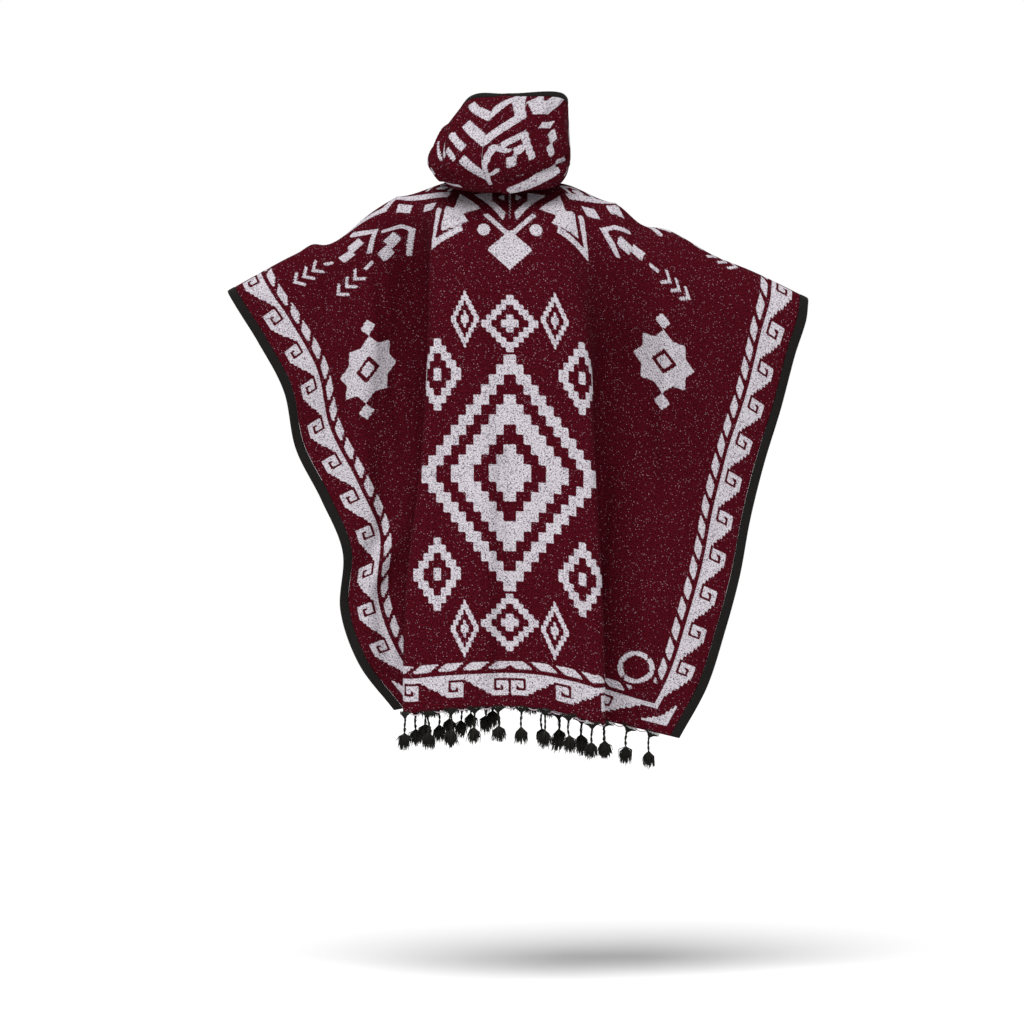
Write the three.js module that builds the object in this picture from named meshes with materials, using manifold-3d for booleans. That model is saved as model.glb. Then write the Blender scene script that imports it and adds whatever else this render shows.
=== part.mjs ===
// A hooded woven blanket poncho, held open by outstretched arms. Millimetres, +Z up.
// The front faces -Y and the back +Y. The origin is the middle of the shoulder line,
// where the blanket rests on whoever wears it.

import * as THREE from 'three';
import { mergeVertices } from 'three/addons/utils/BufferGeometryUtils.js';
import Module from 'manifold-3d';

// Sizes of the flat cloth
const HALF_WIDTH = 600;
const BACK_LENGTH = 1070;
const FRONT_LENGTH = 1030;
const NECK_HALF_WIDTH = 84;
const NECK_DEPTH_BACK = 60;
const NECK_DEPTH_FRONT = 112;

// Walls and seams
const CLOTH_WALL = 2.6;
const BINDING_WALL = 4;
const BINDING_WIDTH = 18;
const SEAM_GAP = 0.3;

// Fold across the cloth: two turns of this length with a straight return between them
const TURN_LENGTH = 52;
const SMALLEST_TURN = 0.0005;
const SHORTEST_RETURN = 12;
const LONGEST_RETURN = 200;

// Grid of each half of the body, in faces
const NECK_FACES = 8;
const SHOULDER_FACES = 2;
const TURN_FACES = 4;
const RETURN_FACES = 2;
const WING_FACES = 9;
const LENGTH_FACES = 15;

// Cross sections from the shoulder line (share 0) to the hem (share 1), one row each.
// depth is how far out from the shoulder line a place lies, height how high above it.
const MIDDLE_COLUMNS = ['share', 'depth', 'height'];
const BACK_MIDDLE = table(MIDDLE_COLUMNS, [
  [0, 0, 4],
  [0.014, 15, 2],
  [0.033, 33, -6],
  [0.07, 68, -28],
  [0.125, 112, -66],
  [0.25, 152, -193],
  [0.375, 168, -326],
  [0.5, 176, -460],
  [0.625, 183, -593],
  [0.75, 190, -726],
  [0.875, 196, -860],
  [1, 201, -991],
]);
const FRONT_MIDDLE = table(MIDDLE_COLUMNS, [
  [0, 0, 4],
  [0.014, 15, 2],
  [0.033, 33, -6],
  [0.07, 66, -28],
  [0.125, 106, -62],
  [0.25, 152, -180],
  [0.375, 174, -306],
  [0.5, 184, -434],
  [0.625, 190, -562],
  [0.75, 195, -690],
  [0.875, 199, -818],
  [1, 202, -945],
]);

// The side of each section. fold is the half width of the middle panel, turn the angle in degrees
// by which the cloth folds back behind it, foldHeight and tuckHeight the heights of that fold and
// of the place where the wing starts, and edgeOut, edgeDepth and edgeHeight the wing's side edge.
const SIDE_COLUMNS = ['share', 'fold', 'turn', 'foldHeight', 'tuckHeight', 'edgeOut', 'edgeDepth', 'edgeHeight'];
const BACK_LEFT = table(SIDE_COLUMNS, [
  [0, 150, 0, -2, -32, 536, 0, -211],
  [0.014, 150, 4, -4, -33, 535, 15, -213],
  [0.033, 150, 12, -12, -40, 531, 30, -221],
  [0.07, 150, 34, -34, -62, 512, 42, -252],
  [0.125, 150, 66, -70, -92, 478, 48, -306],
  [0.25, 151, 104, -196, -214, 427, 62, -402],
  [0.375, 153, 122, -328, -346, 405, 52, -510],
  [0.5, 160, 144, -462, -478, 356, 66, -607],
  [0.625, 172, 156, -596, -606, 315, 84, -706],
  [0.75, 189, 162, -731, -726, 320, 66, -815],
  [0.875, 197, 167, -868, -850, 284, 78, -917],
  [1, 198, 170, -1004, -968, 218, 92, -1003],
]);
const BACK_RIGHT = table(SIDE_COLUMNS, [
  [0, 140, 0, -6, -44, 566, 0, -225],
  [0.014, 139, 1, -8, -45, 566, 15, -227],
  [0.033, 138, 4, -14, -50, 565, 30, -236],
  [0.07, 136, 10, -36, -74, 560, 42, -270],
  [0.125, 135, 22, -72, -112, 540, 46, -331],
  [0.25, 139, 52, -200, -230, 512, 50, -436],
  [0.375, 151, 82, -334, -356, 480, 56, -540],
  [0.5, 157, 108, -470, -488, 454, 52, -646],
  [0.625, 163, 130, -605, -616, 434, 60, -752],
  [0.75, 170, 150, -742, -742, 405, 70, -858],
  [0.875, 175, 162, -882, -870, 371, 78, -961],
  [1, 177, 170, -1024, -998, 319, 84, -1056],
]);
const FRONT_LEFT = table(SIDE_COLUMNS, [
  [0, 150, 0, -2, -32, 536, 0, -211],
  [0.014, 149, 3, -4, -33, 535, 15, -213],
  [0.033, 148, 8, -12, -40, 530, 30, -221],
  [0.07, 148, 22, -34, -62, 508, 42, -252],
  [0.125, 147, 48, -70, -92, 472, 46, -304],
  [0.25, 146, 92, -184, -204, 424, 54, -400],
  [0.375, 151, 119, -310, -328, 390, 60, -498],
  [0.5, 154, 143, -438, -454, 348, 60, -596],
  [0.625, 158, 156, -567, -578, 310, 70, -692],
  [0.75, 162, 162, -697, -700, 296, 76, -788],
  [0.875, 168, 167, -828, -822, 260, 74, -878],
  [1, 172, 170, -958, -940, 205, 86, -958],
]);
const FRONT_RIGHT = table(SIDE_COLUMNS, [
  [0, 140, 0, -6, -44, 566, 0, -225],
  [0.014, 139, 2, -8, -45, 566, 15, -227],
  [0.033, 138, 6, -14, -50, 564, 30, -236],
  [0.07, 134, 16, -36, -74, 556, 42, -270],
  [0.125, 130, 34, -72, -110, 534, 46, -329],
  [0.25, 130, 66, -186, -214, 500, 54, -430],
  [0.375, 136, 92, -312, -336, 466, 50, -530],
  [0.5, 144, 116, -441, -460, 436, 58, -630],
  [0.625, 152, 138, -571, -584, 404, 66, -726],
  [0.75, 160, 152, -702, -708, 368, 60, -816],
  [0.875, 167, 162, -834, -830, 330, 74, -900],
  [1, 170, 167, -965, -950, 280, 82, -972],
]);

// Bumps of the ridge over the shoulder and arm, on the wing's own share of its width
const RIDGE_LENGTH = 190;
const RIDGE_BUMPS = table(['side', 'at', 'reach', 'rise'], [
  [1, 0.36, 0.2, -20],
  [1, 0.5, 0.07, 8],
  [-1, 0.13, 0.12, -18],
  [-1, 0.5, 0.2, -8],
]);

// Large soft folds of the cloth: half says back (1) or front (-1), fromAcross and fromDown the flat
// place where a fold starts, toAcross and toDown where it ends, spread its half width, rise its height.
const FOLD_COLUMNS = ['half', 'fromAcross', 'fromDown', 'toAcross', 'toDown', 'spread', 'rise'];
const SOFT_FOLDS = table(FOLD_COLUMNS, [
  [1, -12, 760, -20, 1120, 26, -11],
  [1, 60, 560, 84, 1120, 34, 8],
  [1, -96, 640, -112, 1120, 30, 8],
  [1, 92, 110, 40, 620, 36, 9],
  [1, -86, 120, -50, 560, 34, 8],
  [1, 330, 110, 470, 470, 30, 14],
  [1, 420, 420, 560, 760, 34, -16],
  [1, 500, 640, 590, 1000, 30, 14],
  [1, -300, 130, -430, 560, 34, 12],
  [1, -420, 330, -560, 760, 36, -12],
  [1, -430, 720, -500, 1100, 34, 12],
  [-1, 0, 420, 14, 1100, 30, -12],
  [-1, 66, 300, 80, 1060, 32, 9],
  [-1, -70, 340, -88, 1060, 30, 9],
  [-1, 320, 120, 450, 560, 34, 12],
  [-1, 430, 520, 540, 980, 34, -12],
  [-1, -310, 120, -440, 560, 34, 12],
  [-1, -440, 500, -540, 980, 34, -12],
]);

// The hood: one row for each section round the neck, from the middle of the back (round 0) to the
// front. sag is how low it hangs, belly and bellyUp where it bags out most, crestOut and crestUp
// where it rolls over, rimOut and rimUp where its opening's edge lies, all from the place where the
// section leaves the neck seam. sway and lean are how far the belly and the rim lean to the
// wearer's left.
const HOOD_COLUMNS = [
  'round', 'sag', 'belly', 'bellyUp', 'crestOut', 'crestUp', 'rimOut', 'rimUp', 'sway', 'lean',
];
const HOOD_LEFT = table(HOOD_COLUMNS, [
  [0, -14, 112, 34, 72, 156, 36, 176, 52, 2],
  [0.2, -10, 104, 30, 72, 118, 38, 170, 20, -6],
  [0.4, 0, 68, 35, 48, 84, 18, 118, 0, -6],
  [0.6, 6, 40, 32, 30, 62, 14, 92, 0, 0],
  [0.8, 4, 26, 22, 21, 44, 12, 72, 0, 0],
  [1, 2, 16, 12, 13, 24, 8, 40, 0, 0],
]);
const HOOD_RIGHT = table(HOOD_COLUMNS, [
  [0, -14, 112, 34, 72, 156, 36, 176, 52, 2],
  [0.2, -10, 94, 34, 68, 120, 40, 176, 28, -17],
  [0.4, 2, 30, 37, 24, 84, 14, 140, 0, -8],
  [0.6, 6, 20, 32, 16, 62, 10, 100, 0, 0],
  [0.8, 4, 20, 22, 16, 44, 10, 72, 0, 0],
  [1, 2, 16, 12, 13, 24, 8, 40, 0, 0],
]);
const HOOD_ROUND_FACES = 20;
const HOOD_RISE_FACES = 10;
const HOOD_SEAM_ALLOWANCE = 4;
const HOOD_SEAM_LIFT = 1.2;
const HOOD_BINDING_WIDTH = 14;
const HOOD_BINDING_LIFT = 0.5;

// Fringe on each hem
const TASSELS_PER_HEM = 26;
const FRINGE_STRIP_HEIGHT = 5;
const FRINGE_STRIP_WALL = 3.6;
const TASSEL_SIDES = 4;
// Rings of a tassel from its root down: drop below the strip's middle, and radius
const TASSEL_RINGS = table(['drop', 'radius'], [
  [-1, 1.2],
  [5, 4.6],
  [10, 2],
  [40, 1.8],
  [46, 5.4],
  [74, 9.6],
]);

const COLOURS = { cloth: 0x5a1626, trim: 0x1a1718, tassel: 0x23211f };

const wasm = await Module();
wasm.setup();

/** Rows of numbers as objects with named columns. */
function table(columns, rows) {
  return rows.map((row) => Object.fromEntries(columns.map((name, index) => [name, row[index]])));
}

/** Value of a column at a share between the rows, on a smooth curve through them. */
function columnAt(rows, key, column, share) {
  const last = rows.length - 1;
  let index = 0;
  while (index < last - 1 && share > rows[index + 1][key]) index += 1;
  const slope = (at) => {
    const before = rows[Math.max(at - 1, 0)];
    const after = rows[Math.min(at + 1, last)];
    return (after[column] - before[column]) / (after[key] - before[key]);
  };
  const start = rows[index];
  const end = rows[index + 1];
  const span = end[key] - start[key];
  const part = THREE.MathUtils.clamp((share - start[key]) / span, 0, 1);
  const square = part * part;
  const cube = square * part;
  return (2 * cube - 3 * square + 1) * start[column]
    + (cube - 2 * square + part) * span * slope(index)
    + (3 * square - 2 * cube) * end[column]
    + (cube - square) * span * slope(index + 1);
}

/** All columns of a table at a share. */
function rowAt(rows, key, share) {
  const names = Object.keys(rows[0]).filter((name) => name !== key);
  return Object.fromEntries(names.map((name) => [name, columnAt(rows, key, name, share)]));
}

/** A half of the body: its length, the depth of its neck hole and its tables. */
const BACK = {
  half: 1,
  length: BACK_LENGTH,
  neckDepth: NECK_DEPTH_BACK,
  middle: BACK_MIDDLE,
  sides: { 1: withReturns(BACK_LEFT, BACK_MIDDLE), [-1]: withReturns(BACK_RIGHT, BACK_MIDDLE) },
};
const FRONT = {
  half: -1,
  length: FRONT_LENGTH,
  neckDepth: NECK_DEPTH_FRONT,
  middle: FRONT_MIDDLE,
  sides: { 1: withReturns(FRONT_LEFT, FRONT_MIDDLE), [-1]: withReturns(FRONT_RIGHT, FRONT_MIDDLE) },
};

/** Plan of the fold behind the panel: flat lengths and places of its turns for one section. */
function foldPlan(row, returnLength) {
  const turn = Math.max(THREE.MathUtils.degToRad(row.turn), SMALLEST_TURN);
  const radius = TURN_LENGTH / turn;
  const panel = row.fold - radius * Math.sin(Math.min(turn, Math.PI / 2));
  const turnOut = radius * Math.sin(turn);
  const turnIn = radius * (1 - Math.cos(turn));
  return {
    turn,
    radius,
    panel,
    firstTurnEnd: { across: panel + TURN_LENGTH, out: panel + turnOut, back: turnIn },
    returnEnd: {
      across: panel + TURN_LENGTH + returnLength,
      out: panel + turnOut + returnLength * Math.cos(turn),
      back: turnIn + returnLength * Math.sin(turn),
    },
    wingStart: {
      across: panel + 2 * TURN_LENGTH + returnLength,
      out: panel + 2 * turnOut + returnLength * Math.cos(turn),
      back: 2 * turnIn + returnLength * Math.sin(turn),
    },
  };
}

/** Rows with the length of cloth between the turns, found by halving so that the width is kept. */
function withReturns(rows, middleRows) {
  return rows.map((row, index) => {
    let low = SHORTEST_RETURN;
    let high = Math.max(LONGEST_RETURN * (row.turn / 180) ** 2, SHORTEST_RETURN);
    for (let step = 0; step < 24; step += 1) {
      const tried = (low + high) / 2;
      const start = foldPlan(row, tried).wingStart;
      const wing = Math.hypot(
        row.edgeOut - start.out,
        row.edgeDepth - (middleRows[index].depth - start.back),
        row.edgeHeight - row.tuckHeight,
      );
      if (start.across + wing > HALF_WIDTH) high = tried;
      else low = tried;
    }
    return { ...row, returnLength: (low + high) / 2 };
  });
}

/** Smooth rise from 0 to 1. */
function ease(value) {
  const part = THREE.MathUtils.clamp(value, 0, 1);
  return part * part * (3 - 2 * part);
}

/** Rounded bump, 1 at 0 and close to 0 past 1.5. */
function bump(value) {
  return Math.exp(-value * value * 1.6);
}

/** Flat places of one section where its parts meet: panel, turns, return and wing. */
function sectionMarks(part, side, down) {
  const row = rowAt(part.sides[side], 'share', down / part.length);
  const plan = foldPlan(row, row.returnLength);
  return [plan.panel, plan.firstTurnEnd.across, plan.returnEnd.across, plan.wingStart.across];
}

/** Point of the cloth's middle layer, before its soft folds, at a flat place on one side. */
function draped(part, side, across, down) {
  const share = down / part.length;
  const middle = rowAt(part.middle, 'share', share);
  const row = rowAt(part.sides[side], 'share', share);
  const plan = foldPlan(row, row.returnLength);
  const { turn, radius, panel, firstTurnEnd, returnEnd, wingStart } = plan;
  let out = across;
  let back = 0;
  let height = middle.height + (row.foldHeight - middle.height) * (across / panel) ** 2;
  if (across > panel) {
    const folded = ease((across - panel) / (wingStart.across - panel));
    height = row.foldHeight + (row.tuckHeight - row.foldHeight) * folded;
    if (across < firstTurnEnd.across) {
      const angle = (across - panel) / radius;
      out = panel + radius * Math.sin(angle);
      back = radius * (1 - Math.cos(angle));
    } else if (across < returnEnd.across) {
      const along = across - firstTurnEnd.across;
      out = firstTurnEnd.out + along * Math.cos(turn);
      back = firstTurnEnd.back + along * Math.sin(turn);
    } else if (across < wingStart.across) {
      const angle = turn - (across - returnEnd.across) / radius;
      out = returnEnd.out + radius * (Math.sin(turn) - Math.sin(angle));
      back = returnEnd.back + radius * (Math.cos(angle) - Math.cos(turn));
    } else {
      const wing = (across - wingStart.across) / (HALF_WIDTH - wingStart.across);
      out = wingStart.out + (row.edgeOut - wingStart.out) * wing;
      back = wingStart.back + (middle.depth - row.edgeDepth - wingStart.back) * wing;
      height = row.tuckHeight + (row.edgeHeight - row.tuckHeight) * wing;
      height += ridgeRise(side, wing) * (1 - ease(down / RIDGE_LENGTH));
    }
  }
  return new THREE.Vector3(side * out, part.half * (middle.depth - back), height);
}

/** Height of the ridge's bumps at a share of the wing's width. */
function ridgeRise(side, wing) {
  return RIDGE_BUMPS.filter((row) => row.side === side)
    .reduce((sum, row) => sum + row.rise * bump((wing - row.at) / row.reach), 0);
}

/** Rise of the soft folds at a flat place: each a long ridge with tapered ends. */
function softRise(part, flatX, down) {
  return SOFT_FOLDS.filter((fold) => fold.half === part.half).reduce((sum, fold) => {
    const alongX = fold.toAcross - fold.fromAcross;
    const alongDown = fold.toDown - fold.fromDown;
    const length = Math.hypot(alongX, alongDown);
    const offX = flatX - fold.fromAcross;
    const offDown = down - fold.fromDown;
    const along = (offX * alongX + offDown * alongDown) / length;
    const aside = (offX * alongDown - offDown * alongX) / length;
    const taper = ease(along / 150) * ease((length - along) / 110);
    return sum + fold.rise * taper * bump(aside / fold.spread);
  }, 0);
}

/** Point of the middle layer at a flat place; flatX is positive on the wearer's left. */
function clothPoint(part, flatX, down) {
  const side = flatX < 0 ? -1 : 1;
  const point = draped(part, side, Math.abs(flatX), down);
  point.y += part.half * softRise(part, flatX, down);
  return point;
}

/** Outward direction of the cloth at a flat place. */
function clothNormal(part, flatX, down) {
  const step = 1.5;
  const low = Math.max(down - step, 0);
  const high = Math.min(down + step, part.length);
  const alongX = clothPoint(part, flatX + step, down).sub(clothPoint(part, flatX - step, down));
  const alongDown = clothPoint(part, flatX, high).sub(clothPoint(part, flatX, low));
  return alongX.cross(alongDown).multiplyScalar(part.half).normalize();
}

/** Distance down from the shoulder line where the cloth starts: the neck hole, then the line. */
function neckDown(part, across) {
  if (across >= NECK_HALF_WIDTH) return 0;
  return part.neckDepth * Math.sqrt(1 - (across / NECK_HALF_WIDTH) ** 2);
}

/** Geometry of a closed wall from two grids of points with the same rows and columns. */
function wallBetween(outer, inner, closedRound = false) {
  const rows = outer.length;
  const columns = outer[0].length;
  const points = [...outer.flat(), ...inner.flat()];
  const places = [];
  const outerAt = (row, column) => row * columns + (column % columns);
  const innerAt = (row, column) => rows * columns + outerAt(row, column);
  const quad = (a, b, c, d) => places.push(a, b, c, a, c, d);
  const lastColumn = closedRound ? columns : columns - 1;
  for (let row = 0; row < rows - 1; row += 1) {
    for (let column = 0; column < lastColumn; column += 1) {
      quad(outerAt(row, column), outerAt(row + 1, column), outerAt(row + 1, column + 1), outerAt(row, column + 1));
      quad(innerAt(row, column), innerAt(row, column + 1), innerAt(row + 1, column + 1), innerAt(row + 1, column));
    }
    if (!closedRound) {
      quad(outerAt(row, 0), innerAt(row, 0), innerAt(row + 1, 0), outerAt(row + 1, 0));
      const end = columns - 1;
      quad(outerAt(row, end), outerAt(row + 1, end), innerAt(row + 1, end), innerAt(row, end));
    }
  }
  for (let column = 0; column < lastColumn; column += 1) {
    const last = rows - 1;
    quad(outerAt(0, column), outerAt(0, column + 1), innerAt(0, column + 1), innerAt(0, column));
    quad(outerAt(last, column), innerAt(last, column), innerAt(last, column + 1), outerAt(last, column + 1));
  }
  return facingOut(points, places);
}

/** Geometry of points and faces, turned so that its faces point outwards. */
function facingOut(points, places) {
  const a = new THREE.Vector3();
  let volume = 0;
  for (let index = 0; index < places.length; index += 3) {
    const [first, second, third] = [0, 1, 2].map((step) => points[places[index + step]]);
    volume += a.crossVectors(second, third).dot(first);
  }
  const order = volume > 0 ? places : places.slice().reverse();
  const geometry = new THREE.BufferGeometry();
  geometry.setAttribute('position', new THREE.Float32BufferAttribute(points.flatMap((p) => p.toArray()), 3));
  geometry.setIndex(order);
  return geometry;
}

/** Two grids, half a wall out and in from a grid of places given as [point, normal]. */
function wallFromGrid(grid, thickness) {
  const shifted = (distance) => grid.map((row) => row.map(([point, normal]) => (
    point.clone().addScaledVector(normal, distance)
  )));
  return wallBetween(shifted(thickness / 2), shifted(-thickness / 2));
}

/** Flat distances across one side at a distance down, following the neck and the folds. */
function flatColumns(part, side, down, relax) {
  const marks = sectionMarks(part, side, down);
  const limit = HALF_WIDTH - BINDING_WIDTH - SEAM_GAP;
  const places = [];
  for (let face = 0; face <= NECK_FACES; face += 1) {
    const even = (face / NECK_FACES) * NECK_HALF_WIDTH;
    const round = NECK_HALF_WIDTH * Math.sin((face / NECK_FACES) * Math.PI / 2);
    places.push(round + (even - round) * relax);
  }
  const neckEnd = NECK_HALF_WIDTH + (Math.min(marks[0] - 8, NECK_HALF_WIDTH) - NECK_HALF_WIDTH) * relax;
  for (let face = 0; face <= NECK_FACES; face += 1) places[face] *= neckEnd / NECK_HALF_WIDTH;
  const spans = [
    [neckEnd, marks[0], SHOULDER_FACES],
    [marks[0], marks[1], TURN_FACES],
    [marks[1], marks[2], RETURN_FACES],
    [marks[2], marks[3], TURN_FACES],
    [marks[3], limit, WING_FACES],
  ];
  for (const [from, to, faces] of spans) {
    for (let face = 1; face <= faces; face += 1) places.push(from + (to - from) * (face / faces));
  }
  return places;
}

/** Grid of one half of the body, from one side edge to the other. */
function bodyGrid(part) {
  const grid = [];
  for (let row = 0; row <= LENGTH_FACES; row += 1) {
    const share = lengthShare(row / LENGTH_FACES);
    const relax = ease(share / 0.2);
    const line = [];
    for (const side of [-1, 1]) {
      const rough = flatColumns(part, side, share * part.length, relax);
      const start = SEAM_GAP / 2;
      const places = rough.map((across) => {
        const top = Math.max(neckDown(part, across), start);
        return [side * across, top + (part.length - top) * share];
      });
      if (side < 0) line.push(...places.reverse());
      else line.push(...places.slice(1));
    }
    grid.push(line.map(([flatX, down]) => {
      const point = clothPoint(part, flatX, down);
      const normal = clothNormal(part, flatX, down);
      if (row === 0 && Math.abs(flatX) > NECK_HALF_WIDTH - 0.01) {
        point.y = part.half * SEAM_GAP / 2;
        normal.setY(0).normalize();
      }
      return [point, normal];
    }));
  }
  return grid;
}

/** Rows lie closer together near the shoulder line, where the cloth bends over it. */
function lengthShare(even) {
  return 0.62 * even + 0.38 * even * even;
}

/** Body cloth of one half. */
function bodyWall(part) {
  return wallFromGrid(bodyGrid(part), CLOTH_WALL);
}

/** Band along a side edge, from the front hem over the arm to the back hem. */
function sideBinding(side) {
  const rows = [];
  for (let step = -LENGTH_FACES; step <= LENGTH_FACES; step += 1) {
    const part = step < 0 ? FRONT : BACK;
    const down = lengthShare(Math.abs(step) / LENGTH_FACES) * part.length;
    rows.push([HALF_WIDTH - BINDING_WIDTH, HALF_WIDTH].map((across) => {
      const normal = clothNormal(part, side * across, down);
      if (step === 0) normal.set(normal.x, 0, normal.z).normalize();
      return [clothPoint(part, side * across, down), normal];
    }));
  }
  return wallFromGrid(rows, BINDING_WALL);
}

/** Flat place on the neck seam: round runs from 0 at the back's middle to 1 at the front's. */
function neckPlace(round) {
  const part = round <= 0.5 ? BACK : FRONT;
  const angle = round * Math.PI;
  const widen = 1 + HOOD_SEAM_ALLOWANCE / NECK_HALF_WIDTH;
  const across = NECK_HALF_WIDTH * widen * Math.sin(angle);
  const down = (part.neckDepth + HOOD_SEAM_ALLOWANCE) * Math.abs(Math.cos(angle));
  return { part, across, down };
}

/** Section of the hood at one place round the neck, as points from the seam to the rim. */
function hoodSection(side, round) {
  const rows = side > 0 ? HOOD_LEFT : HOOD_RIGHT;
  const row = rowAt(rows, 'round', round);
  const { part, across, down } = neckPlace(round);
  const seam = clothPoint(part, side * across, down);
  const normal = clothNormal(part, side * Math.max(across, 1), down);
  if (across < 1) normal.setX(0).normalize();
  const start = seam.clone().addScaledVector(normal, CLOTH_WALL / 2 + HOOD_SEAM_LIFT);
  const angle = round * Math.PI;
  const away = new THREE.Vector3(side * Math.sin(angle), Math.cos(angle), 0);
  const place = (outwards, upwards, leftwards) => (
    start.clone().addScaledVector(away, outwards).setZ(start.z + upwards).add(new THREE.Vector3(leftwards, 0, 0))
  );
  return new THREE.CatmullRomCurve3([
    start,
    start.clone().addScaledVector(normal, 7).addScaledVector(away, 3),
    place(row.belly * 0.55, row.sag + 4, row.sway * 0.5),
    place(row.belly, row.bellyUp, row.sway),
    place(row.crestOut, row.crestUp, (row.sway + row.lean) / 2),
    place(row.rimOut, row.rimUp, row.lean),
  ], false, 'centripetal');
}

/** Grid of one hood panel between the centre seams, up to a share of the section. */
function hoodGrid(side, from, to, faces) {
  return Array.from({ length: HOOD_ROUND_FACES + 1 }, (_, step) => {
    const curve = hoodSection(side, step / HOOD_ROUND_FACES);
    return Array.from({ length: faces + 1 }, (__, face) => curve.getPointAt(from + (to - from) * (face / faces)));
  });
}

/** Outward directions of a grid of lines, from their neighbours, and square to X on the centre seams. */
function gridNormals(lines, side) {
  const last = lines.length - 1;
  return lines.map((points, index) => points.map((point, at) => {
    const before = lines[Math.max(index - 1, 0)][at];
    const after = lines[Math.min(index + 1, last)][at];
    const rise = points[Math.min(at + 1, points.length - 1)].clone().sub(points[Math.max(at - 1, 0)]);
    if (index === 0 || index === last) {
      return [point, rise.cross(new THREE.Vector3(index === 0 ? 1 : -1, 0, 0)).normalize()];
    }
    return [point, after.clone().sub(before).cross(rise).multiplyScalar(-side).normalize()];
  }));
}

/** One hood panel, with half the seam gap kept clear at the middle of the back and front. */
function hoodPanel(side) {
  const share = 1 - HOOD_BINDING_WIDTH / 300;
  const grid = gridNormals(hoodGrid(side, 0, share, HOOD_RISE_FACES), side);
  for (const end of [0, HOOD_ROUND_FACES]) {
    grid[end].forEach(([point]) => point.setX(point.x + side * SEAM_GAP / 2));
  }
  return wallFromGrid(grid, CLOTH_WALL);
}

/** Places along a hem, evenly by the flat distance across. */
function hemPlaces(part, count, inset) {
  const limit = HALF_WIDTH - BINDING_WIDTH - inset;
  return Array.from({ length: count }, (_, index) => -limit + (2 * limit * (index + 0.5)) / count);
}

/** Direction in which the cloth runs on past its hem. */
function hemDirection(part, flatX) {
  const end = clothPoint(part, flatX, part.length);
  return end.sub(clothPoint(part, flatX, part.length - 8)).normalize();
}

/** Closed strip just below the hem, on the same points as the hem's edge. */
function fringeStrip(part) {
  const hem = [];
  for (const side of [-1, 1]) {
    const places = flatColumns(part, side, part.length, 1).map((across) => side * across);
    if (side < 0) hem.push(...places.reverse());
    else hem.push(...places.slice(1));
  }
  const grid = hem.map((flatX) => {
    const edge = clothPoint(part, flatX, part.length);
    const along = hemDirection(part, flatX);
    const normal = clothNormal(part, flatX, part.length);
    return [SEAM_GAP, SEAM_GAP + FRINGE_STRIP_HEIGHT].map((drop) => (
      [edge.clone().addScaledVector(along, drop), normal]
    ));
  });
  return wallFromGrid(grid, FRINGE_STRIP_WALL);
}

/** One hanging tassel as a closed four-sided strand: root, knot, cord and flared brush. */
function tassel(root, lean, turned, scale) {
  const rings = TASSEL_RINGS.map(({ drop, radius }) => {
    const centre = root.clone().add(new THREE.Vector3(lean.x * drop, lean.y * drop, -drop * scale));
    return Array.from({ length: TASSEL_SIDES }, (_, corner) => {
      const angle = turned + (corner / TASSEL_SIDES) * Math.PI * 2;
      return centre.clone().add(new THREE.Vector3(radius * Math.cos(angle), radius * Math.sin(angle), 0));
    });
  });
  const points = rings.flat();
  const places = [];
  for (let ring = 0; ring < rings.length - 1; ring += 1) {
    for (let corner = 0; corner < TASSEL_SIDES; corner += 1) {
      const next = (corner + 1) % TASSEL_SIDES;
      const [a, b] = [ring * TASSEL_SIDES + corner, ring * TASSEL_SIDES + next];
      places.push(a, b, b + TASSEL_SIDES, a, b + TASSEL_SIDES, a + TASSEL_SIDES);
    }
  }
  const last = (rings.length - 1) * TASSEL_SIDES;
  places.push(0, 2, 1, 0, 3, 2, last, last + 1, last + 2, last, last + 2, last + 3);
  return facingOut(points, places);
}

/** Closed solid for joining, from a geometry. */
function solidOf(geometry) {
  const merged = mergeVertices(geometry, 1e-4);
  return new wasm.Manifold(new wasm.Mesh({
    numProp: 3,
    vertProperties: new Float32Array(merged.attributes.position.array),
    triVerts: new Uint32Array(merged.index.array),
  }));
}

/** Geometry of a joined solid. */
function geometryOf(solid) {
  const mesh = solid.getMesh();
  const geometry = new THREE.BufferGeometry();
  geometry.setAttribute('position', new THREE.Float32BufferAttribute(mesh.vertProperties, 3));
  geometry.setIndex(Array.from(mesh.triVerts));
  return geometry;
}

/** Hem strip with its tassels fused to it by their roots. */
function fringe(part) {
  let whole = solidOf(fringeStrip(part));
  hemPlaces(part, TASSELS_PER_HEM, 14).forEach((flatX, index) => {
    const along = hemDirection(part, flatX);
    const root = clothPoint(part, flatX, part.length).addScaledVector(along, SEAM_GAP + FRINGE_STRIP_HEIGHT / 2);
    const lean = new THREE.Vector2(0.05 * Math.sin(index * 2.3), 0.04 * Math.cos(index * 1.7));
    const scale = 1 + 0.05 * Math.sin(index * 1.3);
    whole = whole.add(solidOf(tassel(root, lean, index * 0.9, scale)));
  });
  return geometryOf(whole);
}

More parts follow.
